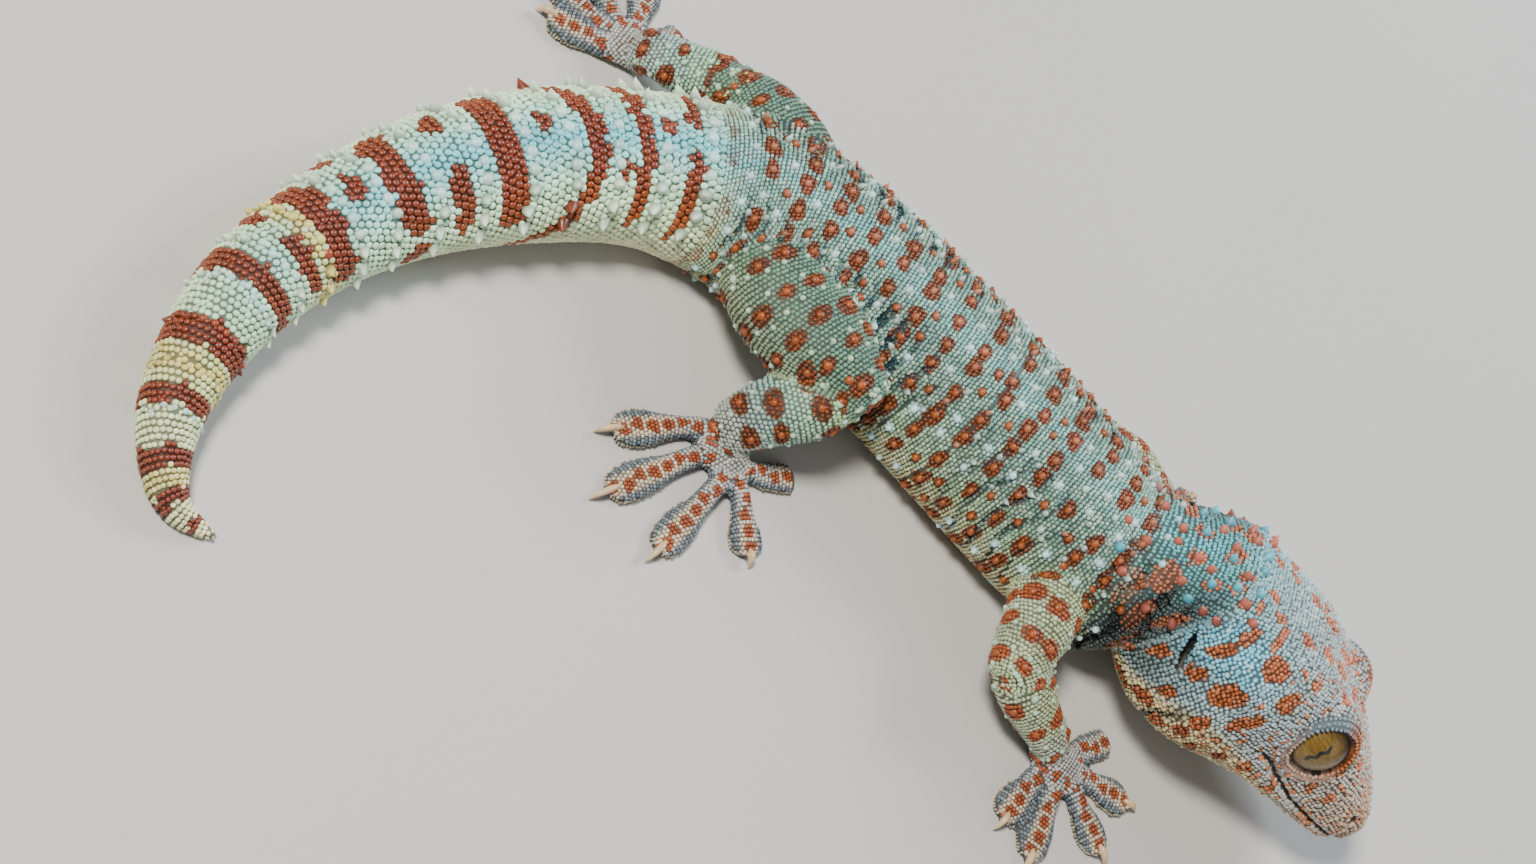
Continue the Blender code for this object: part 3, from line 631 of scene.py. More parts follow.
def palm_tube(name, ankle, palm):
    """Rings from the ankle through the palm."""
    ankle = np.array((*ankle, 0.0))
    palm = np.array((*palm, 0.0))
    length = np.linalg.norm(palm - ankle)
    ahead = (palm - ankle) / length
    side = np.array((-ahead[1], ahead[0], 0.0))
    rings = []
    for place in np.linspace(0.0, len(PALM_STATIONS) - 1.0, 40):
        reach, half, height = along(PALM_STATIONS, place)
        centre = ankle + ahead * length * reach
        rings.append(toe_section(side, PALM_HALF * half, PALM_HEIGHT * height, PALM_LIFT, centre))
    return Tube(name, rings)


def lofted(bm, rings):
    """Adds a closed skin over rings with the same number of points, flat at both ends."""
    slot = bm.verts.layers.int.get("slot") or bm.verts.layers.int.new("slot")
    first = bmesh.ops.create_circle(bm, cap_ends=True, segments=len(rings[0]), radius=1.0)["verts"]
    for index, vert in enumerate(first):
        vert[slot] = index
        vert.co = rings[0][index]
    cap = first[0].link_faces[0]
    for level, ring in enumerate(rings[1:], 1):
        grown = bmesh.ops.extrude_face_region(bm, geom=[cap])["geom"]
        if level > 1:
            bmesh.ops.delete(bm, geom=[cap], context="FACES_ONLY")
        cap = next(piece for piece in grown if isinstance(piece, bmesh.types.BMFace))
        for vert in cap.verts:
            vert.co = ring[vert[slot]]


def piece_from(name, bm):
    """A new object that holds the bmesh."""
    mesh = bpy.data.meshes.new(name)
    bm.to_mesh(mesh)
    bm.free()
    return placed(name, mesh)


def placed(name, mesh):
    """A new object in the scene with the mesh."""
    piece = bpy.data.objects.new(name, mesh)
    bpy.context.scene.collection.objects.link(piece)
    return piece


def applied(piece):
    """Applies the piece's modifiers."""
    seen = piece.evaluated_get(bpy.context.evaluated_depsgraph_get())
    mesh = bpy.data.meshes.new_from_object(seen)
    old = piece.data
    piece.modifiers.clear()
    piece.data = mesh
    bpy.data.meshes.remove(old)


def places_of(mesh, what="co"):
    """The places of a mesh's points, or another vector that they carry, such as the normal."""
    values = np.empty(len(mesh.vertices) * 3, np.float32)
    mesh.vertices.foreach_get(what, values)
    return values.reshape(-1, 3).astype(float)


def move_to(mesh, points):
    """Moves a mesh's points to the places."""
    mesh.vertices.foreach_set("co", points.astype(np.float32).ravel())
    mesh.update()


TRUNK = trunk_tube()
LIMB_TUBES = {name: limb_tube(name, joints) for name, joints in LIMBS.items()}
TOE_TUBES = {}
PALM_TUBES = {}
for foot, (ankle, palm, toes) in FEET.items():
    PALM_TUBES[foot] = palm_tube(foot, ankle, palm)
    for index, (base, tip) in enumerate(toes):
        shape = FIRST_TOE_STATIONS if index == len(toes) - 1 else TOE_STATIONS
        TOE_TUBES[f"{foot}_toe_{index}"] = toe_tube(f"{foot}_toe_{index}", palm, base, tip, shape)


def spine_distance(place):
    """How far a row of the spine lies from the tip of the tail, along the back."""
    return float(TRUNK.u[round(place / (len(SPINE) - 1) * (SPINE_RINGS - 1))])


U_VENT = spine_distance(VENT)
U_SHOULDER = spine_distance(SHOULDER)
U_NAPE = float(TRUNK.u[SPINE_RINGS + NECK_RINGS - 1])
U_SNOUT = float(TRUNK.u[-1])


def mirrored(place, side):
    """A place of the head's left, or its mirror image on the right where the side is minus one."""
    return np.array(place) * (1.0, side, 1.0)


def eye_place(side):
    """The middle of an eye: one for the left, minus one for the right."""
    return head_point(*mirrored(EYE_CENTRE, side))


def eye_axes(side):
    """Rows: as far forward as the eye's own plane allows, across it, and the way it looks."""
    looks = HEAD_FRAME @ mirrored(EYE_LOOKS, side)
    across = np.cross(looks, HEAD_FRAME @ np.array((1.0, 0.0, 0.0)))
    across /= np.linalg.norm(across)
    return np.array((np.cross(across, looks), across, looks))


def round_eye(points, side):
    """Points in an eye's own axes, and how far from the middle of its opening: one on the edge."""
    local = (points - eye_place(side)) @ eye_axes(side).T
    return local, np.sqrt((local[:, 0] / EYE_OPENING[0]) ** 2 + (local[:, 1] / EYE_OPENING[1]) ** 2)


def round_ear(local, side, halves):
    """Points of the head in an ear's own axes, and how far from its middle: one at the half widths."""
    ear = (local - mirrored(EAR, side)) @ turned(0.0, EAR_TILT, 0.0)
    return ear, np.sqrt(((ear / np.array(halves)) ** 2).sum(axis=1))


def from_nostril(local, side):
    """How far points of the head are from a nostril."""
    return np.linalg.norm(local - mirrored(NOSTRIL, side), axis=1)


def bare_skin():
    """One closed skin over tail, torso, neck, head, legs, feet and lids."""
    bm = bmesh.new()
    lofted(bm, TRUNK.rings[::3, ::2])
    for tube in (*LIMB_TUBES.values(), *PALM_TUBES.values()):
        lofted(bm, tube.rings[::3, ::2])
    for tube in TOE_TUBES.values():
        lofted(bm, tube.rings[::2, ::2])
    for side in (1.0, -1.0):
        lid = bmesh.ops.create_uvsphere(bm, u_segments=40, v_segments=24, radius=EYE_RADIUS + GAP + LID)
        bmesh.ops.translate(bm, verts=lid["verts"], vec=eye_place(side))
    bmesh.ops.recalc_face_normals(bm, faces=bm.faces)
    skin = piece_from("skin", bm)
    remesh = skin.modifiers.new("close", "REMESH")
    remesh.mode = "VOXEL"
    remesh.voxel_size = VOXEL
    remesh.adaptivity = 0.0
    applied(skin)
    soften = skin.modifiers.new("soften", "SMOOTH")
    soften.factor = 0.5
    soften.iterations = 4
    applied(skin)
    return skin


class Chart:
    """Finds, for any point on the skin, the tube it belongs to and its place on that tube."""

    def __init__(self, tubes):
        self.tubes = tubes
        self.rows = []
        points = []
        for number, tube in enumerate(tubes):
            for row in range(0, len(tube.u), 2):
                for column in range(0, tube.columns, 2):
                    arc = column / tube.columns
                    arc = (arc - 1.0 if arc > 0.5 else arc) * tube.girth[row]
                    self.rows.append((number, tube.u[row], arc))
                    points.append(tube.rings[row, column])
        self.rows = np.array(self.rows)
        self.tree = KDTree(len(points))
        for index, point in enumerate(points):
            self.tree.insert(point, index)
        self.tree.balance()

    def look_up(self, points):
        """A row for each point: the number of its tube, the distance along it and the arc."""
        found = [self.tree.find(point)[1] for point in points]
        return self.rows[found]


def bump(distance, width):
    """One at no distance, falling smoothly to nothing past the width."""
    return np.exp(-(distance / width) ** 2)


def neck_fold(u, arc):
    """How deep each place of the neck lies in a slanting fold, in millimetres."""
    sunk = np.zeros(u.shape)
    for start, lean, width, depth, low, high in NECK_FOLDS:
        line = start + lean * np.abs(arc)
        reach = np.clip((np.abs(arc) - low) / 4.0, 0.0, 1.0) * np.clip((high - np.abs(arc)) / 5.0, 0.0, 1.0)
        sunk += bump(u - line - 0.8 * np.sin(arc * 0.5), width) * depth * reach
    return sunk


def flank_fold(u, arc):
    """How deep each place of the flank lies in a fold across the body, from nothing to one."""
    side = np.abs(arc)
    wave = u + 1.3 * np.sin(arc * 0.32 + 1.7) + 0.8 * np.sin(u * 0.11)
    strength = 0.30 + 0.75 * bump(u - 158.0, 16.0) + 0.25 * np.sin(u * 0.19 + 0.6)
    strength = strength * np.clip((side - 5.0) / 5.0, 0.0, 1.0) * np.clip((34.0 - side) / 6.0, 0.0, 1.0)
    inside = (u > U_VENT + 2.0) & (u < U_SHOULDER - 4.0)
    return inside * np.clip(strength, 0.0, 1.0) * np.clip(np.sin(wave * 2.0 * math.pi / 3.9), 0.0, 1.0) ** 3


def folded(where):
    """How far each point of the skin sinks in a fold of neck or flank, in millimetres."""
    tube, u, arc = where.T
    return (tube == 0) * (neck_fold(u, arc) + 0.8 * flank_fold(u, arc))


def carved(skin):
    """Sinks the skin by the coat's depth, and shapes eyes, ears, nostrils, mouth and folds."""
    mesh = skin.data
    points = places_of(mesh)
    normals = places_of(mesh, "normal")
    where = CHART.look_up(points)
    points -= normals * (COAT_DEPTH + folded(where))[:, None]
    local = in_head(points)
    on_head = (local[:, 0] > -4.0) & (where[:, 0] == 0)
    ahead, _, up = local.T
    lip = on_head * np.clip((ahead - MOUTH_CORNER + 1.5) / 2.0, 0.0, 1.0)
    rise = up - mouth_rise(ahead)
    points -= normals * (lip * bump(rise, 0.55) * 0.9)[:, None]
    points += normals * (lip * (bump(rise - 1.5, 0.9) + bump(rise + 1.5, 0.9)) * 0.22)[:, None]
    for side in (1.0, -1.0):
        ear, off = round_ear(local, side, EAR_PIT)
        pit = np.clip(1.15 - off, 0.0, 1.0)
        swell = bump(ear[:, 0] - 2.4, 1.2) * bump(ear[:, 2], 4.0) * bump(ear[:, 1], 5.0) * 0.7
        points += normals * (on_head * (swell - np.minimum(pit * 4.0, 2.6)))[:, None]
        points -= normals * (on_head * bump(from_nostril(local, side), 1.0) * 1.1)[:, None]
    for side in (1.0, -1.0):
        local, around = round_eye(points, side)
        distance = np.linalg.norm(local, axis=1)
        facing = (local[:, 2] > 0.0) & (distance < EYE_RADIUS + 4.0)
        inside = facing * np.clip((1.10 - around) / 0.08, 0.0, 1.0)
        rim = facing * bump(around - 1.18, 0.09) * 0.35
        crease = facing * bump(around - 1.44, 0.06) * 0.35
        target = EYE_RADIUS - 0.7
        new = distance * (1.0 - inside) + np.minimum(distance, target) * inside + rim - crease
        points = eye_place(side) + (local * (new / distance)[:, None]) @ eye_axes(side)
    points[:, 2] = np.maximum(points[:, 2], 0.02)
    move_to(mesh, points)


def openings(points, on_trunk):
    """How far each point lies inside the mouth, an ear or a nostril: one inside, none outside."""
    local = in_head(points)
    lip = np.clip((local[:, 0] - MOUTH_CORNER + 1.0) / 1.0, 0.0, 1.0) * on_trunk
    dark = lip * bump(local[:, 2] - mouth_rise(local[:, 0]), 0.42)
    for side in (1.0, -1.0):
        _, off = round_ear(local, side, EAR_DARK)
        dark = np.maximum(dark, np.clip((1.2 - off) * 4.0, 0.0, 1.0))
        dark = np.maximum(dark, bump(from_nostril(local, side), 1.15))
    return dark


def mouth_rise(ahead):
    """How far the line of the mouth lies above the level of its corner, along the head."""
    return np.interp(ahead, MOUTH_PLACES, MOUTH_RISES)


CHART = Chart([TRUNK, *LIMB_TUBES.values(), *PALM_TUBES.values(), *TOE_TUBES.values()])


def colour(code):
    """A colour as written on screens, in linear light."""
    parts = np.array([int(code[k:k + 2], 16) for k in (1, 3, 5)]) / 255.0
    return np.where(parts <= 0.04045, parts / 12.92, ((parts + 0.055) / 1.055) ** 2.4)


def mixed(first, second, share):
    """Colours between two, by a share for each that is kept from nothing to one."""
    share = np.clip(share, 0.0, 1.0)[..., None]
    return first * (1.0 - share) + second * share


def graded(value, stops):
    """A colour for each value, blended between stops of value and colour."""
    values = [stop for stop, _ in stops]
    shades = np.array([colour(code) for _, code in stops])
    return np.stack([np.interp(value, values, shades[:, k]) for k in range(3)], axis=-1)


def draw(*numbers):
    """A repeatable number from nothing to one for each set of whole numbers."""
    mixed_up = sum(np.asarray(n, float) * k for n, k in zip(numbers, (12.9898, 78.233, 37.719, 93.17)))
    return np.abs(np.sin(mixed_up + 4.1) * 43758.5453) % 1.0


def lattice(u, arc, step_u, step_arc, salt):
    """The nearest point of a staggered lattice: its row, column, and how far away it is each way."""
    row = np.round(u / step_u)
    shift = (row % 2) * 0.5
    column = np.round(arc / step_arc - shift)
    off_u = u - (row + 0.34 * (draw(row, column, salt) - 0.5)) * step_u
    off_arc = arc - (column + shift + 0.30 * (draw(row, column, salt + 1) - 0.5)) * step_arc
    return row, column, off_u, off_arc


def trunk_spot(u, arc):
    """Which spot of the back each place is in: 2 an orange oval, 3 its dark edge, 1 a pale one, 0 none."""
    row, column, off_u, off_arc = lattice(u, arc, SPOT_ROW, SPOT_COLUMN, SPOT_SALT)
    chance = draw(row, column, 9)
    broad = row % 2 == 0
    size = 0.85 + 0.35 * draw(row, column, 12)
    edge = 1.0 + 0.22 * np.sin(np.arctan2(off_u, off_arc) * 3.0 + chance * 9.0)
    orange = broad & (chance < 0.94)
    small = ~broad & (chance > 0.52)
    pale = ~broad & (chance <= 0.52)
    along_half = np.where(broad, 1.45, 0.85) * size
    across_half = np.where(broad, 2.15, 1.10) * size
    reach = (off_u / along_half) ** 2 + (off_arc / across_half) ** 2
    mark = np.where((reach < edge) & (orange | small), np.where(reach > 0.62 * edge, 3, 2), 0)
    bright = np.hypot(off_u, off_arc) < 1.05
    return np.where(pale & bright, 1, mark)


def tail_red(u, arc):
    """Whether each place on the tail is in a red band or blotch."""
    red = np.zeros(u.shape, bool)
    wobble = 0.45 * np.sin(arc * 1.1 + u * 0.05) + 0.3 * np.sin(arc * 2.3)
    for middle, width, curve, low, high in TAIL_BANDS:
        line = middle - curve * (arc / 15.0) ** 2
        taper = np.clip(np.minimum(arc - low, high - arc) / 1.6, 0.0, 1.0)
        red |= np.abs(u - line - wobble * 0.6) < width * 0.5 * taper
    return red


def head_spot(u, arc):
    """How deep each place of neck and head is in one of the spots: 1 at the middle, 0 at the edge."""
    depth = np.full(u.shape, -9.0)
    for away, around, half_u, half_arc in HEAD_SPOTS:
        for side in (1.0, -1.0):
            shift = 0.0 if side < 0.0 else 0.9 * math.sin(around)
            off = np.hypot((u - U_NAPE - away - shift) / half_u, (arc - side * around + shift) / half_arc)
            depth = np.maximum(depth, 1.0 - off)
    return depth


def trunk_colours(u, arc, grain):
    """Colours of tail, torso, neck and head, for the middle of each scale."""
    side = np.abs(arc)
    tail = mixed(graded(u, TAIL_TIP_TONES), graded(side, TAIL_TONES), (u - 20.0) / 50.0)
    for middle, reach in TAIL_YELLOW:
        tail = mixed(tail, colour("#CDBE6A"), bump(u - middle, reach) * 0.75 * (0.5 + grain))
    red = graded(side + 6.0 * (grain - 0.5), BAND_TONES)
    tail = np.where(tail_red(u, arc)[..., None], red, tail)

    back = mixed(graded(side, BACK_TONES), colour("#C2D4BE"), 0.7 * (grain - 0.3))
    spot = trunk_spot(u, arc)
    rust = mixed(graded(side, RUST_TONES), colour("#582404"), grain * 0.5)
    back = np.where((spot >= 2)[..., None], rust, back)
    back = np.where((spot == 3)[..., None], back * 0.85, back)
    back = np.where((spot == 1)[..., None], colour("#A9CDCC"), back)
    # Painted shade in the folds across the flank: dark blue-green mixed in by the depth of each fold
    back = mixed(back, colour("#16414C"), flank_fold(u, arc) * 1.3)

    along_head = u - U_NAPE
    head = graded(along_head, CROWN_TONES)
    # The temple's blue-grey, brightened there to cyan as a painted highlight
    head = mixed(head, colour("#6CCBEE"), bump(along_head - 7.0, 7.0) * bump(side - 20.0, 6.0))
    head = mixed(head, colour("#C6D4D8"), 0.7 * (grain - 0.3))
    jowl = bump(side - 33.0, 8.0) * bump(along_head - 2.0, 8.0)
    head = mixed(head, colour("#525E5C"), jowl * 0.9)
    head = mixed(head, colour("#BDB188"), (side - 37.5 + along_head * 0.36) / 3.0)
    head = mixed(head, colour("#B39A84"), np.clip((along_head - 44.0) / 8.0, 0.0, 1.0) * 0.7)
    front = mixed(graded(side, NECK_TONES), head, (along_head + 3.0) / 5.0)
    # Painted shade in the folds of the neck: near black mixed in by their depth
    front = mixed(front, colour("#0E1C20"), neck_fold(u, arc) * 1.6)
    # Painted shadow over the side of the neck between head and shoulder; it darkens the spots there too
    shade = 1.0 - 0.78 * bump(along_head + 9.0, 8.0) * bump(side - 22.0, 11.0)
    depth = head_spot(u, arc) + 0.13 + 0.16 * (grain - 0.5)
    orange = mixed(graded(side, HEAD_SPOT_TONES), colour("#D08A62"), 0.9 * (grain - 0.45))
    depth = np.maximum(depth, np.where((grain > 0.9) & (along_head > 16.0), 1.0, -1.0))
    front = mixed(front, orange, depth / 0.06) * shade[..., None]

    body = mixed(tail, back, (u - U_VENT + 6.0 + 4.0 * (grain - 0.5)) / 8.0)
    return mixed(body, front, (u - U_SHOULDER - 1.0 + 3.0 * (grain - 0.5)) / 4.0)


def limb_spot(u, arc, salt):
    """Whether each place on a limb is in one of its rusty ovals."""
    row, column, off_u, off_arc = lattice(u, arc, LIMB_SPOT, LIMB_SPOT_ROUND, salt)
    chance = draw(row, column, salt + 4)
    size = 0.75 + 0.5 * draw(row, column, salt + 6)
    inside = (off_u / (1.45 * size)) ** 2 + (off_arc / (2.3 * size)) ** 2 < 1.0
    return inside & (chance < 0.9)


def between(first, second, share):
    """Colours between two codes, one for each share."""
    return mixed(colour(first) + 0.0 * share[..., None], colour(second), share)


def limb_colours(name, u, arc, grain, salt):
    """Legs and arms: green or cream, greyer towards the foot, with rusty ovals."""
    side = np.abs(arc)
    hind = name.startswith(("thigh", "shank"))
    base = graded(side, HIND_TONES if hind else FORE_TONES)
    if name.startswith("shank"):
        base = mixed(graded(u, SHANK_TONES), base, (side - 6.0) / 6.0)
    if name.startswith(("shank", "fore")):
        base = mixed(base, colour("#9CA49E"), (u - 12.0) / 7.0)
    rust = between("#7A3808", "#5A2402", grain) if hind else between("#9C4E24", "#843812", grain)
    return np.where(limb_spot(u, arc, salt)[..., None], rust, base)


def foot_colours(name, u, arc, grain):
    """Palms and toes: pale ridge with orange spots along the top, slate flanks, cream edge."""
    side = np.abs(arc)
    ridge = between("#BAB2AA", "#9AA4A8", grain)
    if "toe" in name:
        pale = mixed(ridge, colour("#C8B49A"), (u - 7.0) / 6.0)
        turn = u / 2.7 + 0.2
        dots = np.hypot((turn % 1.0 - 0.5) * 2.7, arc + 0.5 * np.sin(np.floor(turn) * 2.4)) < 1.1
        pale = np.where((dots & (u > 3.0))[..., None], between("#A2502A", "#863C18", grain), pale)
        flank = graded(side, TOE_TONES) * np.where(np.round(u / TOE_PITCH) % 2 == 0, 0.72, 1.2)[..., None]
        return mixed(pale, flank, (side - 1.2 - 0.3 * grain) / 0.7)
    row, column, off_u, off_arc = lattice(u, arc, 3.0, 3.2, 7)
    spots = (np.hypot(off_u, off_arc) < 1.0) & (draw(row, column, 8) < 0.6)
    return np.where(spots[..., None], colour("#9C4C26"), ridge)


def colours_of(tube, salt, u, arc, grain):
    """The marking at places of one tube; the salt keeps its spots unlike those of the next."""
    if tube.name == "trunk":
        return trunk_colours(u, arc, grain)
    if tube.name in LIMB_TUBES:
        return limb_colours(tube.name, u, arc, grain, salt)
    return foot_colours(tube.name, u, arc, grain)


def colours_at(where, grain):
    """The marking at charted places: rows of the tube's number, distance along it and arc."""
    shades = np.empty((len(where), 3))
    for number, tube in enumerate(CHART.tubes):
        mine = where[:, 0] == number
        if mine.any():
            shades[mine] = colours_of(tube, number * SALT_STEP, where[mine, 1], where[mine, 2], grain[mine])
    return shades


def dome(sides, rings, lean=0.0):
    """One scale of unit half width: a closed foot in the skin, then rings that rise and lean back."""
    bm = bmesh.new()
    first = bmesh.ops.create_circle(bm, cap_ends=True, segments=sides, radius=1.0)["verts"]
    cap = first[0].link_faces[0]
    for vert in first:
        vert.co.z = rings[0][1]
    for level, (radius, height) in enumerate(rings[1:]):
        middle = Vector((-lean * max(rings[level][1], 0.0), 0.0))
        grown = bmesh.ops.extrude_face_region(bm, geom=[cap])["geom"]
        if level > 0:
            bmesh.ops.delete(bm, geom=[cap], context="FACES_ONLY")
        cap = next(piece for piece in grown if isinstance(piece, bmesh.types.BMFace))
        for vert in cap.verts:
            flat = (vert.co.xy - middle).normalized() * radius
            vert.co = (flat.x - lean * max(height, 0.0), flat.y, height)
    bmesh.ops.poke(bm, faces=[cap], offset=0.0)
    bm.verts.ensure_lookup_table()
    bm.verts[-1].co.z = rings[-1][1] + 0.16
    bmesh.ops.recalc_face_normals(bm, faces=bm.faces)
    bmesh.ops.triangulate(bm, faces=bm.faces)
    points = np.array([vert.co[:] for vert in bm.verts])
    faces = np.array([[vert.index for vert in face.verts] for face in bm.faces])
    bm.free()
    return points, faces


def strewn(name, template, places, normals, alongs, sizes, shades, roots):
    """One mesh of many scales: half widths along and across the body and a height for each."""
    points, faces = template
    count = len(places)
    across = np.cross(normals, alongs)
    across /= np.linalg.norm(across, axis=1)[:, None]
    alongs = np.cross(across, normals)
    spread = (
        places[:, None]
        + alongs[:, None] * (points[:, 0] * sizes[:, :1])[..., None]
        + across[:, None] * (points[:, 1] * sizes[:, 1:2])[..., None]
        + normals[:, None] * (points[:, 2] * sizes[:, 2:3])[..., None]
    ).reshape(-1, 3)
    spread = (spread - np.array(MIDDLE)) * MM
    spread[:, 2] = np.maximum(spread[:, 2], 0.0)
    corners = (faces[None] + (np.arange(count) * len(points))[:, None, None]).reshape(-1)
    mesh = bpy.data.meshes.new(name)
    mesh.vertices.add(len(spread))
    mesh.vertices.foreach_set("co", spread.astype(np.float32).ravel())
    mesh.loops.add(len(corners))
    mesh.loops.foreach_set("vertex_index", corners.astype(np.int32))
    mesh.polygons.add(len(corners) // 3)
    mesh.polygons.foreach_set("loop_start", np.arange(0, len(corners), 3, dtype=np.int32))
    mesh.update(calc_edges=True)
    mesh.validate()
    mesh.shade_smooth()
    tinted(mesh, np.broadcast_to(shades, (count, len(points), 3)).reshape(-1, 3))
    rise = mesh.attributes.new("Rise", "FLOAT", "POINT")
    rise.data.foreach_set("value", np.tile(np.clip(points[:, 2], 0.0, 1.0), count).astype(np.float32))
    uv = mesh.uv_layers.new(name="OFBake")
    patch = roots[:, None] + points[None, :, :2] * PATCH * 0.5
    uv.data.foreach_set("uv", patch.reshape(-1, 2)[corners].astype(np.float32).ravel())
    return placed(name, mesh)


def tinted(mesh, shades):
    """Stores a colour for each point as the marking that the materials read."""
    layer = mesh.color_attributes.new("Marking", "FLOAT_COLOR", "POINT")
    with_alpha = np.concatenate((shades, np.ones((len(shades), 1))), axis=1)
    layer.data.foreach_set("color", with_alpha.astype(np.float32).ravel())


def rows_of_scales(tube, start, end, pitch, across, low, jitter):
    """Places for scales in rings along a tube, staggered from ring to ring: u and arc of each.

    Pitch and across are the steps along and round it, each one number or a table by distance.
    """
    found_u = []
    found_arc = []
    u = start
    row = 0
    while u < end:
        step = pitch if isinstance(pitch, float) else np.interp(u, *pitch)
        wide = across if isinstance(across, float) else np.interp(u, *across)
        _, girth = tube.ring_at(u)
        half = girth * 0.5 * low
        arcs = (np.arange(math.floor(-half / wide), math.ceil(half / wide) + 1) + 0.5 * (row % 2)) * wide
        arcs = arcs[np.abs(arcs) <= half]
        arcs = arcs + random.uniform(-jitter, jitter, len(arcs)) * wide
        found_arc.append(arcs)
        found_u.append(u + random.uniform(-jitter, jitter, len(arcs)) * step)
        u += step
        row += 1
    return np.concatenate(found_u), np.concatenate(found_arc)


def set_on_skin(tube, u, arc, reach=1.5):
    """The skin's own point and normal under each place of a tube, and the way along the body there."""
    points = np.empty((len(u), 3))
    ahead = np.empty((len(u), 3))
    for k in range(len(u)):
        here = arc[k:k + 1]
        points[k] = tube.points_at(u[k], here)[0]
        after = tube.points_at(min(u[k] + 0.6, tube.u[-1]), here)[0]
        ahead[k] = after - tube.points_at(max(u[k] - 0.6, 0.0), here)[0]
    places = np.empty_like(points)
    normals = np.empty_like(points)
    keep = np.zeros(len(u), bool)
    for k, point in enumerate(points):
        place, normal, _, gap = SKIN_TREE.find_nearest(point)
        places[k] = place
        normals[k] = normal
        keep[k] = gap < reach and place.z > 0.25
    return places[keep], normals[keep], ahead[keep], u[keep], arc[keep]


def root_of(number, u, arc):
    """Where places of the tubes with these numbers lie on the flat pattern of the skin."""
    return PATTERN[number] + np.stack((u, arc), axis=1) * PATTERN_SCALE


class Coat:
    """Notes where scales are laid, and finds which new ones would crowd them."""

    def __init__(self):
        self.cells = {}

    def free(self, places, radius):
        """Which of the places are clear of every scale laid so far, by that distance."""
        keep = np.ones(len(places), bool)
        for k, place in enumerate(places):
            x, y, z = (place // CELL).astype(int)
            near = []
            for cell in itertools.product((x - 1, x, x + 1), (y - 1, y, y + 1), (z - 1, z, z + 1)):
                near.extend(self.cells.get(cell, ()))
            if near and (np.linalg.norm(np.array(near) - place, axis=1) < radius[k]).any():
                keep[k] = False
        return keep

    def take(self, places):
        """Notes scales as laid."""
        for place in places:
            self.cells.setdefault(tuple((place // CELL).astype(int)), []).append(place)


COAT = Coat()


def spread_over(u, sizes):
    """Sizes for scales at each distance along a tube: three numbers, or a row of them for each distance."""
    table = np.array(sizes, float)
    if table.ndim == 1:
        return np.tile(table, (len(u), 1))
    return np.stack([np.interp(u, table[:, 0], table[:, k]) for k in (1, 2, 3)], axis=1)


def lay(name, tube, u, arc, template, sizes, looks, gap=0.6, shade=None, fine=False):
    """Lays one set of scales along a tube. Sizes: half widths along and across the tube, and height.

    Fine: the marking runs on across each scale, where it's otherwise one colour for each scale.
    """
    places, normals, ahead, u, arc = set_on_skin(tube, u, arc)
    sizes = spread_over(u, sizes)
    keep = COAT.free(places, (sizes[:, 0] + sizes[:, 1]) * gap)
    keep &= ~near_eye(places) & (openings(places, tube is TRUNK) < 0.45)
    number = CHART.tubes.index(tube)
    u = u[keep]
    arc = arc[keep]
    grain = random.uniform(0.0, 1.0, len(u))
    if fine:
        points = template[0]
        fine_u = u[:, None] + points[:, 0] * sizes[keep][:, :1]
        fine_arc = arc[:, None] + points[:, 1] * sizes[keep][:, 1:2]
        fine_grain = np.repeat(grain, len(points))
        shades = colours_of(tube, number * SALT_STEP, fine_u.ravel(), fine_arc.ravel(), fine_grain)
        shades = shades.reshape(len(u), len(points), 3)
    elif shade is None:
        shades = colours_of(tube, number * SALT_STEP, u, arc, grain)
    else:
        shades = shade(u, arc, grain)
    roots = root_of(number, u, arc)
    return put(name, places[keep], normals[keep], ahead[keep], template, sizes[keep], shades, roots, looks)


def put(name, places, normals, ahead, template, sizes, shades, roots, looks):
    """Makes the mesh for scales whose places are settled, each a little different from the next."""
    COAT.take(places)
    sizes = sizes * random.uniform(0.90, 1.10, (len(places), 3))
    shades = shades.reshape(len(places), -1, 3) * random.uniform(0.85, 1.15, (len(places), 1, 1))
    ahead = ahead / np.linalg.norm(ahead, axis=1)[:, None]
    spin = random.normal(0.0, 0.16, (len(places), 1))
    ahead = ahead * np.cos(spin) + np.cross(normals, ahead) * np.sin(spin)
    piece = strewn(name, template, places, normals, ahead, sizes, shades, roots)
    piece.data.materials.append(looks)
    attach(piece, "root")
    PIECES.append(piece)
    return piece


def near_eye(places):
    """Whether each place is in an eye's opening or on its bare rim."""
    inside = np.zeros(len(places), bool)
    for side in (1.0, -1.0):
        local, around = round_eye(places, side)
        inside |= (local[:, 2] > 0.0) & (around < 1.27)
    return inside


def with_nodes(name):
    """A new node material, and the function that adds a node to it with its settings and links.

    Links go by the name or number of the socket, and a plain value among them is set there instead.
    """
    made = bpy.data.materials.new(name)
    made.use_nodes = True
    tree = made.node_tree
    tree.nodes.clear()

    def add(kind, links=None, **settings):
        node = tree.nodes.new(kind)
        for key, value in settings.items():
            if key in node.inputs:
                node.inputs[key].default_value = value
            else:
                setattr(node, key, value)
        for key, source in (links or {}).items():
            if isinstance(source, bpy.types.NodeSocket):
                tree.links.new(source, node.inputs[key])
            else:
                node.inputs[key].default_value = source
        return node

    return made, add


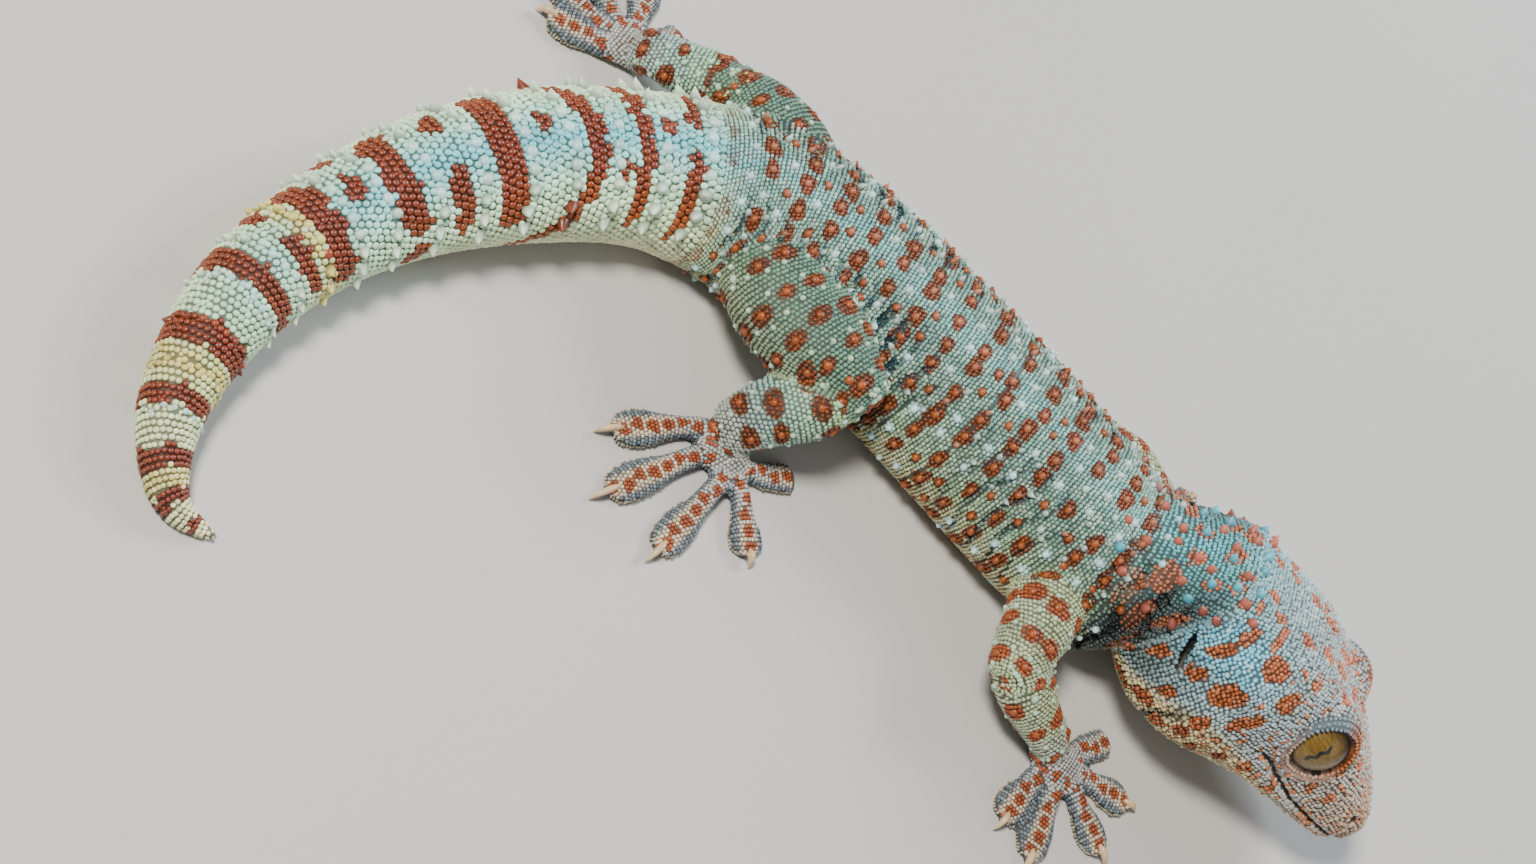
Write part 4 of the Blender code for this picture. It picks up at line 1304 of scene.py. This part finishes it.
def scale_material(name, roughness, gloss):
    """Scales: thick dry keratin, shed and grown anew, with a faint waxy bloom and fine pits.

    The eye gets matt colour, with a painted highlight on the top of each dome and painted shade at its foot,
    which draws a dark line where two meet.
    """
    made, add = with_nodes(name)
    tint = add("ShaderNodeVertexColor", layer_name="Marking").outputs["Color"]
    rise = add("ShaderNodeAttribute", attribute_name="Rise").outputs["Fac"]
    place = add("ShaderNodeTexCoord").outputs["Object"]
    # Pits of 1.1 mm with finer ones in them down to 0.14 mm, coarser than real ones so that they show,
    # and patches of 7 mm that are a little lighter or darker
    pits = {"Scale": 900.0, "Detail": 3.0, "Roughness": 0.6}
    grain = add("ShaderNodeTexNoise", {"Vector": place}, **pits).outputs["Fac"]
    patch = add("ShaderNodeTexNoise", {"Vector": place}, Scale=140.0, Detail=2.0).outputs["Fac"]
    # Painted shade and highlight: the colour falls to 0.30 of the marking at the foot of each scale, where
    # shade gathers between scales, and rises to 1.14 at its top
    foot = {"From Min": 0.05, "From Max": 0.75, "To Min": 0.30, "To Max": 1.14}
    shade = add("ShaderNodeMapRange", {"Value": rise}, **foot).outputs["Result"]
    uneven = {"From Min": 0.3, "From Max": 0.7, "To Min": 0.88, "To Max": 1.1}
    mottle = add("ShaderNodeMapRange", {"Value": patch}, **uneven).outputs["Result"]
    both = add("ShaderNodeMath", {0: shade, 1: mottle}, operation="MULTIPLY").outputs["Value"]
    toned = add("ShaderNodeVectorMath", {0: tint, "Scale": both}, operation="SCALE").outputs["Vector"]
    bloom = {"To Min": roughness - 0.08, "To Max": roughness + 0.1}
    rough = add("ShaderNodeMapRange", {"Value": grain}, **bloom).outputs["Result"]
    dents = add("ShaderNodeBump", {"Height": grain}, Strength=0.35, Distance=0.0001).outputs["Normal"]
    wax = {"Coat Weight": gloss, "Coat Roughness": 0.28, "IOR": 1.5}
    flesh = {"Subsurface Weight": 0.04, "Subsurface Scale": 0.001, "Subsurface Radius": (1.0, 0.5, 0.3)}
    links = {"Base Color": toned, "Roughness": rough, "Normal": dents}
    shader = add("ShaderNodeBsdfPrincipled", links, **wax, **flesh)
    add("ShaderNodeOutputMaterial", {"Surface": shader.outputs["BSDF"]})
    return made


def skin_material():
    """Skin between the scales: thin, soft and folded small. The eye gets a matt ground, dark with the painted
    shade in its marking.
    """
    made, add = with_nodes("gecko_skin")
    tint = add("ShaderNodeVertexColor", layer_name="Marking").outputs["Color"]
    place = add("ShaderNodeTexCoord").outputs["Object"]
    # Small folds 0.67 mm across, with finer ones in them down to 0.08 mm
    grain = add("ShaderNodeTexNoise", {"Vector": place}, Scale=1500.0, Detail=3.0).outputs["Fac"]
    level = add("ShaderNodeMapRange", {"Value": grain}, **{"To Min": 0.75, "To Max": 1.2}).outputs["Result"]
    toned = add("ShaderNodeVectorMath", {0: tint, "Scale": level}, operation="SCALE").outputs["Vector"]
    dents = add("ShaderNodeBump", {"Height": grain}, Strength=0.4, Distance=0.0001).outputs["Normal"]
    shader = add("ShaderNodeBsdfPrincipled", {"Base Color": toned, "Normal": dents}, Roughness=0.62)
    add("ShaderNodeOutputMaterial", {"Surface": shader.outputs["BSDF"]})
    return made


def paint_skin(skin):
    """The markings again on the skin itself, darkened as painted shade where it shows between the scales."""
    points = places_of(skin.data)
    where = CHART.look_up(points)
    shades = colours_at(where, random.uniform(0.3, 0.7, len(points)))
    # Painted shade between the scales: the marking darkened to 0.30 and taken a quarter of the way to dark
    # teal
    shades = mixed(shades * 0.30, colour("#203836"), np.full(len(points), 0.25))
    # Painted shade inside the mouth line, the ear holes and the nostrils: near black, tinted dark red at the
    # nostrils
    pit = np.where(in_head(points)[:, :1] > 44.0, colour("#4A1006"), colour("#120D0C"))
    shades = mixed(shades, pit, openings(points, where[:, 0] == 0) * 1.3)
    for side in (1.0, -1.0):
        eye, around = round_eye(points, side)
        near = (eye[:, 2] > 0.0) & (np.linalg.norm(eye, axis=1) < EYE_RADIUS + 3.0)
        rim = lid_colours(np.arctan2(-eye[:, 1] * side, eye[:, 0])) * 0.8
        shades = mixed(shades, rim, near * np.clip((1.30 - around) / 0.06, 0.0, 1.0))
        # Painted shade in the gap between the eye and its lid: near black just inside the opening
        shades = mixed(shades, colour("#1A100A"), near * np.clip((1.08 - around) / 0.05, 0.0, 1.0))
    tinted(skin.data, shades)


def lid_colours(turn):
    """Colours round an eye, by the angle from its front corner towards the brow."""
    brow = bump(np.angle(np.exp(1j * (turn - 1.0))), 1.0)
    back = bump(np.angle(np.exp(1j * (turn - 2.5))), 0.8)
    shades = between("#B79A8A", "#A85A18", brow * 1.6)
    return mixed(shades, colour("#6F8592"), back * 1.4)


def eye_material():
    """A wet eye under its clear fixed scale, with pigment and fine threads in the iris behind it.

    The eye gets an olive gold, darker at its edge, a wavy black slit, and one sharp highlight.
    """
    made, add = with_nodes("gecko_eye")
    iris = add("ShaderNodeAttribute", attribute_name="Iris").outputs["Vector"]
    split = add("ShaderNodeSeparateXYZ", {"Vector": iris})
    ahead, across = split.outputs["X"], split.outputs["Y"]
    # The slit is 0.8 mm wide, waves 0.2 mm to either side every 2 mm and closes 2.8 mm from its middle
    wave = add("ShaderNodeMath", {0: across, 1: 3.1}, operation="MULTIPLY").outputs["Value"]
    wavy = add("ShaderNodeMath", {0: wave}, operation="SINE").outputs["Value"]
    bent = add("ShaderNodeMath", {0: wavy, 1: 0.2, 2: ahead}, operation="MULTIPLY_ADD").outputs["Value"]
    off = add("ShaderNodeMath", {0: bent}, operation="ABSOLUTE").outputs["Value"]
    length = add("ShaderNodeMath", {0: across}, operation="ABSOLUTE").outputs["Value"]
    closing = {"From Min": 2.1, "From Max": 3.0, "To Min": 0.0, "To Max": 0.5}
    end = add("ShaderNodeMapRange", {"Value": length}, **closing).outputs["Result"]
    gap = add("ShaderNodeMath", {0: off, 1: end}, operation="ADD").outputs["Value"]
    border = {"From Min": 0.36, "From Max": 0.44, "To Min": 1.0, "To Max": 0.0}
    slit = add("ShaderNodeMapRange", {"Value": gap}, **border).outputs["Result"]
    # Threads of the iris, drawn about 0.3 mm wide and 2 mm long, with finer ones in them
    stretch = add("ShaderNodeMapping", {"Vector": iris, "Scale": (0.28, 2.2, 1.0)}, vector_type="POINT")
    fine = {"Scale": 1.6, "Detail": 6.0, "Roughness": 0.75}
    threads = add("ShaderNodeTexNoise", {"Vector": stretch.outputs["Vector"]}, **fine).outputs["Fac"]
    gold = add("ShaderNodeValToRGB", {"Fac": threads})
    ramp = gold.color_ramp
    ramp.elements.new(0.52)
    for element, (place, code) in zip(ramp.elements, IRIS_TONES):
        element.position = place
        element.color = (*colour(code), 1.0)
    reach = add("ShaderNodeVectorMath", {0: iris}, operation="LENGTH").outputs["Value"]
    outer = {"From Min": 3.3, "From Max": 5.2, "To Min": 0.0, "To Max": 1.0}
    edge = add("ShaderNodeMapRange", {"Value": reach}, **outer).outputs["Result"]
    tones = {6: gold.outputs["Color"], 7: (*colour("#150F04"), 1.0)}
    rimmed = add("ShaderNodeMix", {"Factor": edge, **tones}, data_type="RGBA").outputs[2]
    tones = {6: rimmed, 7: (0.001, 0.001, 0.001, 1.0)}
    pupil = add("ShaderNodeMix", {"Factor": slit, **tones}, data_type="RGBA").outputs[2]
    wet = {"Coat Weight": 0.8, "Coat Roughness": 0.03, "Coat IOR": 1.35}
    shader = add("ShaderNodeBsdfPrincipled", {"Base Color": pupil}, Roughness=0.5, **wet)
    add("ShaderNodeOutputMaterial", {"Surface": shader.outputs["BSDF"]})
    return made


def eyeball(name, side, looks):
    """One eye, domed a little where it looks."""
    bm = bmesh.new()
    bmesh.ops.create_uvsphere(bm, u_segments=64, v_segments=40, radius=EYE_RADIUS)
    mesh = bpy.data.meshes.new(name)
    bm.to_mesh(mesh)
    bm.free()
    local = places_of(mesh)
    local *= (1.0 + 0.03 * np.clip(local[:, 2] / EYE_RADIUS, 0.0, 1.0) ** 2)[:, None]
    iris = mesh.attributes.new("Iris", "FLOAT_VECTOR", "POINT")
    flat = local * (1.0, 1.0, 0.0) + (PUPIL_SHIFT, 0.0, 0.0)
    behind = local[:, 2] < 0.0
    flat[behind] *= 3.0
    iris.data.foreach_set("vector", flat.astype(np.float32).ravel())
    points = eye_place(side) + local @ eye_axes(side)
    move_to(mesh, (points - np.array(MIDDLE)) * MM)
    if np.linalg.det(eye_axes(side)) < 0.0:
        mesh.flip_normals()
    mesh.shade_smooth()
    mesh.materials.append(looks)
    piece = placed(name, mesh)
    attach(piece, "root")
    return piece


def finish_skin(skin, looks):
    """Moves the skin to its place in metres and dresses it."""
    points = places_of(skin.data)
    move_to(skin.data, (points - np.array(MIDDLE)) * MM)
    skin.data.shade_smooth()
    skin.data.materials.append(looks)
    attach(skin, "root")


PIECES = []
# The flat pattern that the scales' patches lie on: side of a patch, size of a millimetre, and the
# corner of each tube's strip, the trunk's along the bottom and the others' in rows of five above it
PATCH = 0.003
PATTERN_SCALE = 1.0 / 330.0
PATTERN = [(0.03, 0.17)]
for index in range(len(CHART.tubes) - 1):
    PATTERN.append((0.03 + 0.19 * (index % 5), 0.40 + 0.085 * (index // 5)))
PATTERN = np.array(PATTERN)

SKIN = bare_skin()
carved(SKIN)
FACES = [face.vertices for face in SKIN.data.polygons]
SKIN_TREE = BVHTree.FromPolygons([vert.co for vert in SKIN.data.vertices], FACES)
paint_skin(SKIN)
SKIN_LOOKS = skin_material()
SCALE_LOOKS = scale_material("gecko_scales", 0.46, 0.12)
TAIL_LOOKS = scale_material("gecko_tail_scales", 0.40, 0.22)
finish_skin(SKIN, SKIN_LOOKS)

CONE_RINGS = ((1.0, -0.3), (0.86, 0.2), (0.60, 0.50), (0.33, 0.78), (0.14, 0.96))
PEBBLE = dome(6, ((1.08, -0.4), (0.92, 0.66)), 0.12)
GRANULE = dome(6, ((1.06, -0.45), (0.99, 0.46), (0.60, 0.90)), 0.10)
TOOTH = dome(10, CONE_RINGS, 0.7)
PLATE = dome(8, ((1.0, -0.5), (0.95, 0.55), (0.66, 0.95)))
KNOB = dome(10, ((1.0, -0.4), (0.93, 0.28), (0.72, 0.64), (0.38, 0.92)))
HORN = dome(10, CONE_RINGS)


def knob_places(row_step, column_step, salt, start, end, reach):
    """The middles of a staggered lattice of spots: u and arc of each."""
    rows = np.arange(math.ceil(start / row_step), math.floor(end / row_step) + 1)
    columns = np.arange(-math.ceil(reach / column_step), math.ceil(reach / column_step) + 1)
    row, column = (grid.ravel().astype(float) for grid in np.meshgrid(rows, columns))
    u = (row + 0.34 * (draw(row, column, salt) - 0.5)) * row_step
    arc = (column + (row % 2) * 0.5 + 0.30 * (draw(row, column, salt + 1) - 0.5)) * column_step
    inside = np.abs(arc) < reach
    return u[inside], arc[inside]


def knob_shades(u, arc, grain):
    """Knobs of the back: rusty in the orange spots, rosier along its middle, and pale between them."""
    orange = between("#8A4412", "#A6644A", bump(arc, 7.0))
    return np.where((trunk_spot(u, arc) >= 2)[:, None], orange, colour("#B6D6D6"))


def point_shades(u, arc, grain):
    """Small points of the back: pinkish on the orange spots and pale between them."""
    return np.where((trunk_spot(u, arc) >= 2)[:, None], colour("#B47A66"), colour("#B8CCC8"))


def whorl_shades(u, arc, grain):
    """Whorls of the tail: red in its bands, yellow by the tip, and pale, bluer along the top."""
    pale = between("#C4DAC4", "#A4D0D8", bump(arc, 5.0))
    yellow = bump(u - 53.0, 4.0) + bump(u - 27.0, 5.0)
    pale = mixed(pale, colour("#CCBC5C"), yellow * 0.9)
    return np.where(tail_red(u, arc)[:, None], colour("#82381E"), pale)


def nape_shades(u, arc, grain):
    """Cones of the nape: rose with some cyan ones high up, and darker rose low down in the shade."""
    high = np.abs(arc) < NAPE_HIGH
    cone = between("#B86656", "#54B0C8", high * (grain - 0.6) / 0.05)
    return np.where(high[:, None], cone, cone * 0.6)


u, arc = knob_places(SPOT_ROW, SPOT_COLUMN, SPOT_SALT, U_VENT, U_NAPE - 10.0, 32.0)
lay("back_knobs", TRUNK, u, arc, KNOB, BACK_KNOB, SCALE_LOOKS, 0.2, knob_shades)

rows = np.arange(U_VENT + 3.0, U_NAPE - 16.0, POINT_STEP)
u = np.repeat(rows, len(POINT_ARCS)) + random.uniform(-0.5, 0.5, len(rows) * len(POINT_ARCS))
arc = np.tile(POINT_ARCS, len(rows)) + random.uniform(-0.6, 0.6, len(u))
u = u + np.tile(POINT_LEADS, len(rows))
lay("back_points", TRUNK, u, arc, HORN, BACK_POINT, SCALE_LOOKS, 0.75, point_shades)

# Whorls narrow with the tail, and bend back towards the sides
u = np.repeat(WHORLS, len(WHORL_ARCS))
share = np.interp(u, *WHORL_NARROWING)
arc = np.tile(WHORL_ARCS, len(WHORLS)) * share
u = u - 0.025 * np.abs(arc) ** 1.5 + random.uniform(-0.4, 0.4, len(u))
blunt = np.abs(arc) < 6.0 * share
lay("tail_knobs", TRUNK, u[blunt], arc[blunt], KNOB, KNOB_SIZES, TAIL_LOOKS, 0.3, whorl_shades)
lay("tail_teeth", TRUNK, u[~blunt], arc[~blunt], TOOTH, TOOTH_SIZES, TAIL_LOOKS, 0.3, whorl_shades)

u = U_NAPE + np.array([row[0] for row in NAPE_HORNS for _ in (0, 1)])
arc = np.array([row[1] * side for row in NAPE_HORNS for side in (-1.0, 1.0)])
lay("nape_horns", TRUNK, u, arc, HORN, NAPE_HORN, SCALE_LOOKS, 0.3, nape_shades)


def lip_scales():
    """Larger scales along both lips, and round the front of the snout."""
    found = []
    for offset in (0.85, -0.85):
        for side in (1.0, -1.0):
            for ahead in np.arange(MOUTH_CORNER + 1.0, 51.0, 1.3):
                up = float(mouth_rise(ahead)) + offset
                found.append((head_point(ahead, side * 30.0, up), HEAD_FRAME @ np.array((0.0, -side, 0.0))))
        for left in np.arange(-4.4, 4.5, 1.1):
            start = head_point(70.0, left, float(mouth_rise(53.0)) + offset)
            found.append((start, HEAD_FRAME @ np.array((-1.0, 0.0, 0.0))))
    hits = [SKIN_TREE.ray_cast(Vector(start), Vector(way)) for start, way in found]
    hits = [hit for hit in hits if hit[0] is not None]
    places = np.array([hit[0] for hit in hits])
    normals = np.array([hit[1] for hit in hits])
    keep = COAT.free(places, np.full(len(places), 0.8))
    places = places[keep]
    normals = normals[keep]
    up = HEAD_FRAME @ np.array((0.0, 0.0, 1.0))
    ahead = np.cross(up, normals)
    grain = random.uniform(0.0, 1.0, len(places))
    shades = between("#A0A09C", "#B06A40", (grain - 0.62) / 0.05)
    where = CHART.look_up(places)
    roots = root_of(0, where[:, 1], where[:, 2])
    sizes = np.tile(LIP_SCALE, (len(places), 1))
    put("head_lip_scales", places, normals, ahead, PLATE, sizes, shades, roots, SCALE_LOOKS)


def lid_scales():
    """Three rings of small scales round each eye, the inner ones standing up as a fringe."""
    for index, side in enumerate((1.0, -1.0)):
        axes = eye_axes(side)
        for ring, (reach, count, half, height) in enumerate(LID_RINGS):
            turn = (np.arange(count) + 0.5 * (ring % 2)) / count * 2.0 * math.pi
            flat = np.stack((np.cos(turn) * EYE_OPENING[0], np.sin(turn) * EYE_OPENING[1]), axis=1) * reach
            deep = np.sqrt(np.maximum((EYE_RADIUS + LID) ** 2 - (flat ** 2).sum(axis=1), 0.5))
            points = eye_place(side) + np.concatenate((flat, deep[:, None]), axis=1) @ axes
            hits = [SKIN_TREE.find_nearest(Vector(point)) for point in points]
            places = np.array([hit[0] for hit in hits])
            normals = np.array([hit[1] for hit in hits])
            outward = np.cross(normals, np.cross(places - eye_place(side), axes[2]))
            where = CHART.look_up(places)
            shades = lid_colours(-turn * side)
            sizes = np.tile((half, half, height), (count, 1))
            name = f"head_lid_{index}_{ring}"
            roots = root_of(0, where[:, 1], where[:, 2])
            put(name, places, normals, outward, GRANULE, sizes, shades, roots, SCALE_LOOKS)


lip_scales()
lid_scales()

u, arc = rows_of_scales(TRUNK, 2.0, U_VENT - 3.0, TAIL_PITCH, TAIL_ACROSS, 0.9, 0.07)
lay("tail_plates", TRUNK, u, arc, PLATE, TAIL_SIZES, TAIL_LOOKS)

BACK_STRETCHES = (
    ("rump_scales", U_VENT - 2.4, 158.0),
    ("back_scales", 158.5, 190.0),
    ("shoulder_scales", 190.5, U_SHOULDER),
)
for name, start, end in BACK_STRETCHES:
    u, arc = rows_of_scales(TRUNK, start, end, 0.75, 0.79, 0.88, 0.10)
    lay(name, TRUNK, u, arc, GRANULE, BACK_SCALE, SCALE_LOOKS, fine=True)

u, arc = knob_places(2.3, 2.5, 31, U_NAPE - 4.0, U_SNOUT - 4.0, 44.0)
lay("head_pearls", TRUNK, u, arc, KNOB, HEAD_PEARL, SCALE_LOOKS, 0.9)

# Three lines of pearls along each side of the jaw
jaw = np.arange(0.0, 40.0, 1.15)
u = np.tile(U_NAPE + jaw, 6)
arc = np.repeat((1.0, -1.0, 1.0, -1.0, 1.0, -1.0), len(jaw)) * (41.0 - 0.40 * np.tile(jaw, 6))
arc = arc + np.repeat((0.0, 0.0, 1.2, -1.2, -1.2, 1.2), len(jaw)) + random.uniform(-0.2, 0.2, len(u))
lay("head_jaw_pearls", TRUNK, u, arc, KNOB, JAW_PEARL, SCALE_LOOKS, 0.75)

HEAD_STRETCHES = (
    ("neck_scales", U_SHOULDER + 0.5, U_NAPE + 9.0),
    ("head_scales", U_NAPE + 9.5, U_SNOUT),
)
for name, start, end in HEAD_STRETCHES:
    u, arc = rows_of_scales(TRUNK, start, end, 0.76, 0.80, 0.98, 0.17)
    lay(name, TRUNK, u, arc, GRANULE, HEAD_SCALE, SCALE_LOOKS, 0.66)


def limb_knobs(tube):
    """Knobs on a limb: rusty ones in the middle of its spots, pale ones between them."""
    salt = CHART.tubes.index(tube) * SALT_STEP
    reach = float(tube.girth.max()) * 0.5
    end = float(tube.u[-1])
    u, arc = knob_places(LIMB_SPOT, LIMB_SPOT_ROUND, salt, 1.0, end, reach)
    pale_u, pale_arc = knob_places(LIMB_SPOT * 0.62, LIMB_SPOT * 0.6, salt + 2, 1.0, end, reach)
    clear = ~limb_spot(pale_u, pale_arc, salt)

    def shade(u, arc, grain):
        return np.where(limb_spot(u, arc, salt)[:, None], colour("#8E4414"), colour("#A8C4AC"))

    lay(f"{tube.name}_knobs", tube, u, arc, KNOB, LIMB_KNOB, SCALE_LOOKS, 0.2, shade)
    pale = (pale_u[clear], pale_arc[clear])
    lay(f"{tube.name}_beads", tube, *pale, KNOB, LIMB_BEAD, SCALE_LOOKS, 0.6, shade)


def fringe_shades(u, arc, grain):
    """Cream edges of the toes."""
    return between("#C4B89E", "#A8A090", grain)


def toe_fringe(name, tube):
    """A row of wide scales along both edges of a toe's pad."""
    u = np.arange(tube.u[-1] * 0.42, tube.u[-1] * TOE_COVERED, 0.55)
    arc = np.array([tube.ring_at(place)[1] * 0.30 for place in u])
    u = np.concatenate((u, u))
    arc = np.concatenate((arc, -arc))
    lay(f"{name}_fringe", tube, u, arc, PEBBLE, FRINGE_SCALE, SCALE_LOOKS, 0.3, fringe_shades)


for tube in LIMB_TUBES.values():
    limb_knobs(tube)
    u, arc = rows_of_scales(tube, 0.0, float(tube.u[-1]), 0.76, 0.80, 1.0, 0.12)
    lay(f"{tube.name}_scales", tube, u, arc, PEBBLE, LIMB_SCALE, SCALE_LOOKS, fine=True)
for name, tube in TOE_TUBES.items():
    toe_fringe(name, tube)
for tube in (*PALM_TUBES.values(), *TOE_TUBES.values()):
    end = float(tube.u[-1]) * (TOE_COVERED if "toe" in tube.name else 1.0)
    u, arc = rows_of_scales(tube, 0.0, end, TOE_PITCH, TOE_PITCH, 0.8, 0.06)
    lay(f"{tube.name}_scales", tube, u, arc, PEBBLE, TOE_SCALE, SCALE_LOOKS)


def fill_bare():
    """Small scales wherever the rows left the skin bare, as in folds and where limbs join."""
    points = places_of(SKIN.data) / MM + np.array(MIDDLE)
    normals = places_of(SKIN.data, "normal")
    laid = np.array([place for cell in COAT.cells.values() for place in cell])
    tree = KDTree(len(laid))
    for index, place in enumerate(laid):
        tree.insert(place, index)
    tree.balance()
    bare = np.array([tree.find(point)[2] > FILL_GAP for point in points])
    bare &= (points[:, 2] > 0.6) & (normals[:, 2] > -0.75) & ~near_eye(points)
    found = []
    for index in random.permutation(np.flatnonzero(bare)):
        if COAT.free(points[index:index + 1], (FILL_GAP,))[0]:
            COAT.take(points[index:index + 1])
            found.append(index)
    where = CHART.look_up(points[found])
    ends = np.array([tube.u[-1] * TOE_COVERED if "toe" in tube.name else math.inf for tube in CHART.tubes])
    clear = openings(points[found], where[:, 0] == 0) < 0.3
    clear &= where[:, 1] < ends[where[:, 0].astype(int)]
    found = np.array(found)[clear]
    where = where[clear]
    shades = colours_at(where, random.uniform(0.0, 1.0, len(found)))
    roots = root_of(where[:, 0].astype(int), where[:, 1], where[:, 2])
    ahead = np.cross(normals[found], (0.3, 0.5, 0.81))
    sizes = np.tile(SMALL_SCALE, (len(found), 1))
    put("body_small_scales", points[found], normals[found], ahead, PEBBLE, sizes, shades, roots, SCALE_LOOKS)


def claw_material():
    """Claws: hard clear keratin grown in thin layers, worn smooth. The eye gets a warm ivory gleam."""
    made, add = with_nodes("claw_horn")
    place = add("ShaderNodeTexCoord").outputs["Object"]
    # Cloudy patches of 1.4 mm in the horn, with finer ones in them down to 0.18 mm
    grain = add("ShaderNodeTexNoise", {"Vector": place}, Scale=700.0, Detail=3.0).outputs["Fac"]
    tones = {6: (*colour("#B89468"), 1.0), 7: (*colour("#E2CFA8"), 1.0)}
    tone = add("ShaderNodeMix", {"Factor": grain, **tones}, data_type="RGBA").outputs[2]
    shader = add("ShaderNodeBsdfPrincipled", {"Base Color": tone}, Roughness=0.3)
    add("ShaderNodeOutputMaterial", {"Surface": shader.outputs["BSDF"]})
    return made


def claws():
    """Curved claws over the tips of all toes but the first of each foot."""
    bm = bmesh.new()
    for ankle, palm, toes in FEET.values():
        for base, tip in toes[:-1]:
            path = ((*palm, 0.0), (*base, 0.0), (*tip, 0.0))
            rings = []
            for place in np.linspace(0.0, len(CLAW_STATIONS) - 1.0, 16):
                reach, half, low, high = along(CLAW_STATIONS, place)
                centre = along(path, reach)
                ahead = along(path, reach + 0.02) - along(path, reach - 0.02)
                ahead /= np.linalg.norm(ahead)
                middle = centre * (1.0, 1.0, 0.0) + np.array((0.0, 0.0, (low + high) * 0.5))
                rings.append((oval_ring(middle, ahead, half, (high - low) * 0.5, 14) - np.array(MIDDLE)) * MM)
            lofted(bm, rings)
    bmesh.ops.recalc_face_normals(bm, faces=bm.faces)
    piece = piece_from("claws", bm)
    piece.data.shade_smooth()
    piece.data.materials.append(claw_material())
    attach(piece, "root")
    return piece


fill_bare()
CLAWS = claws()
EYE_LOOKS_MATERIAL = eye_material()
EYES = [eyeball("left_eye", 1.0, EYE_LOOKS_MATERIAL), eyeball("right_eye", -1.0, EYE_LOOKS_MATERIAL)]

FLESH = [name for name in frame["nodes"] if not name.startswith("eye")]
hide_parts(*FLESH)
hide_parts("eye_left")
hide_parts("eye_right")
SLOTS = (
    ("tail", "tail_skin"), ("neck", "neck_skin"), ("nape", "neck_skin"), ("head", "head_skin"),
    ("foot", "foot_skin"), ("hand", "foot_skin"),
)
LEGS = ("thigh", "shank", "upper", "fore")
for piece in PIECES:
    slots = [slot for start, slot in SLOTS if piece.name.startswith(start)]
    slots += ["leg_skin"] * piece.name.startswith(LEGS)


def studio_floor():
    """Floor: matt paper on a roll, faintly uneven. The eye gets an even pale ground."""
    bm = bmesh.new()
    bmesh.ops.create_grid(bm, x_segments=1, y_segments=1, size=4.0)
    floor = piece_from("studio_floor", bm)
    made, add = with_nodes("studio_floor")
    place = add("ShaderNodeTexCoord").outputs["Object"]
    # Clouds 170 mm across in the paper, with finer ones in them down to 10 mm
    grain = add("ShaderNodeTexNoise", {"Vector": place}, Scale=6.0, Detail=4.0).outputs["Fac"]
    tone = add("ShaderNodeMapRange", {"Value": grain}, **{"To Min": 0.50, "To Max": 0.56}).outputs["Result"]
    shader = add("ShaderNodeBsdfPrincipled", {"Base Color": tone}, Roughness=0.8)
    add("ShaderNodeOutputMaterial", {"Surface": shader.outputs["BSDF"]})
    floor.data.materials.append(made)


def studio_light():
    """Soft lamps, each turned to the middle of the floor, and a dim sky."""
    world = bpy.data.worlds.new("studio")
    world.use_nodes = True
    sky = world.node_tree.nodes["Background"]
    sky.inputs["Color"].default_value = (0.97, 0.98, 1.0, 1.0)
    sky.inputs["Strength"].default_value = 0.20
    bpy.context.scene.world = world
    for name, place, size, power, tint in LAMPS:
        lamp = bpy.data.lights.new(name, "AREA")
        lamp.size = size
        lamp.energy = power
        lamp.color = tint
        holder = bpy.data.objects.new(name, lamp)
        holder.location = place
        way = Vector((0.0, 0.0, 0.01)) - Vector(place)
        holder.rotation_euler = way.to_track_quat("-Z", "Y").to_euler()
        bpy.context.scene.collection.objects.link(holder)


def studio_camera():
    """The camera of the photograph, turned so that the floor is level."""
    lens = bpy.data.cameras.new("camera")
    lens.lens = CAMERA_LENS
    lens.sensor_width = 36.0
    lens.clip_start = 0.01
    camera = bpy.data.objects.new("camera", lens)
    tilt = math.radians(90.0 - CAMERA_ELEVATION)
    turn = Matrix.Rotation(math.radians(-CAMERA_AZIMUTH), 3, "Z") @ Matrix.Rotation(tilt, 3, "X")
    turn = turn @ Matrix.Rotation(math.radians(CAMERA_ROLL), 3, "Z")
    eye = turn @ Vector((0.0, 0.0, CAMERA_DISTANCE)) - MIDDLE
    camera.matrix_world = Matrix.Translation(eye * MM) @ turn.to_4x4()
    bpy.context.scene.collection.objects.link(camera)
    bpy.context.scene.camera = camera


studio_floor()
studio_light()
studio_camera()
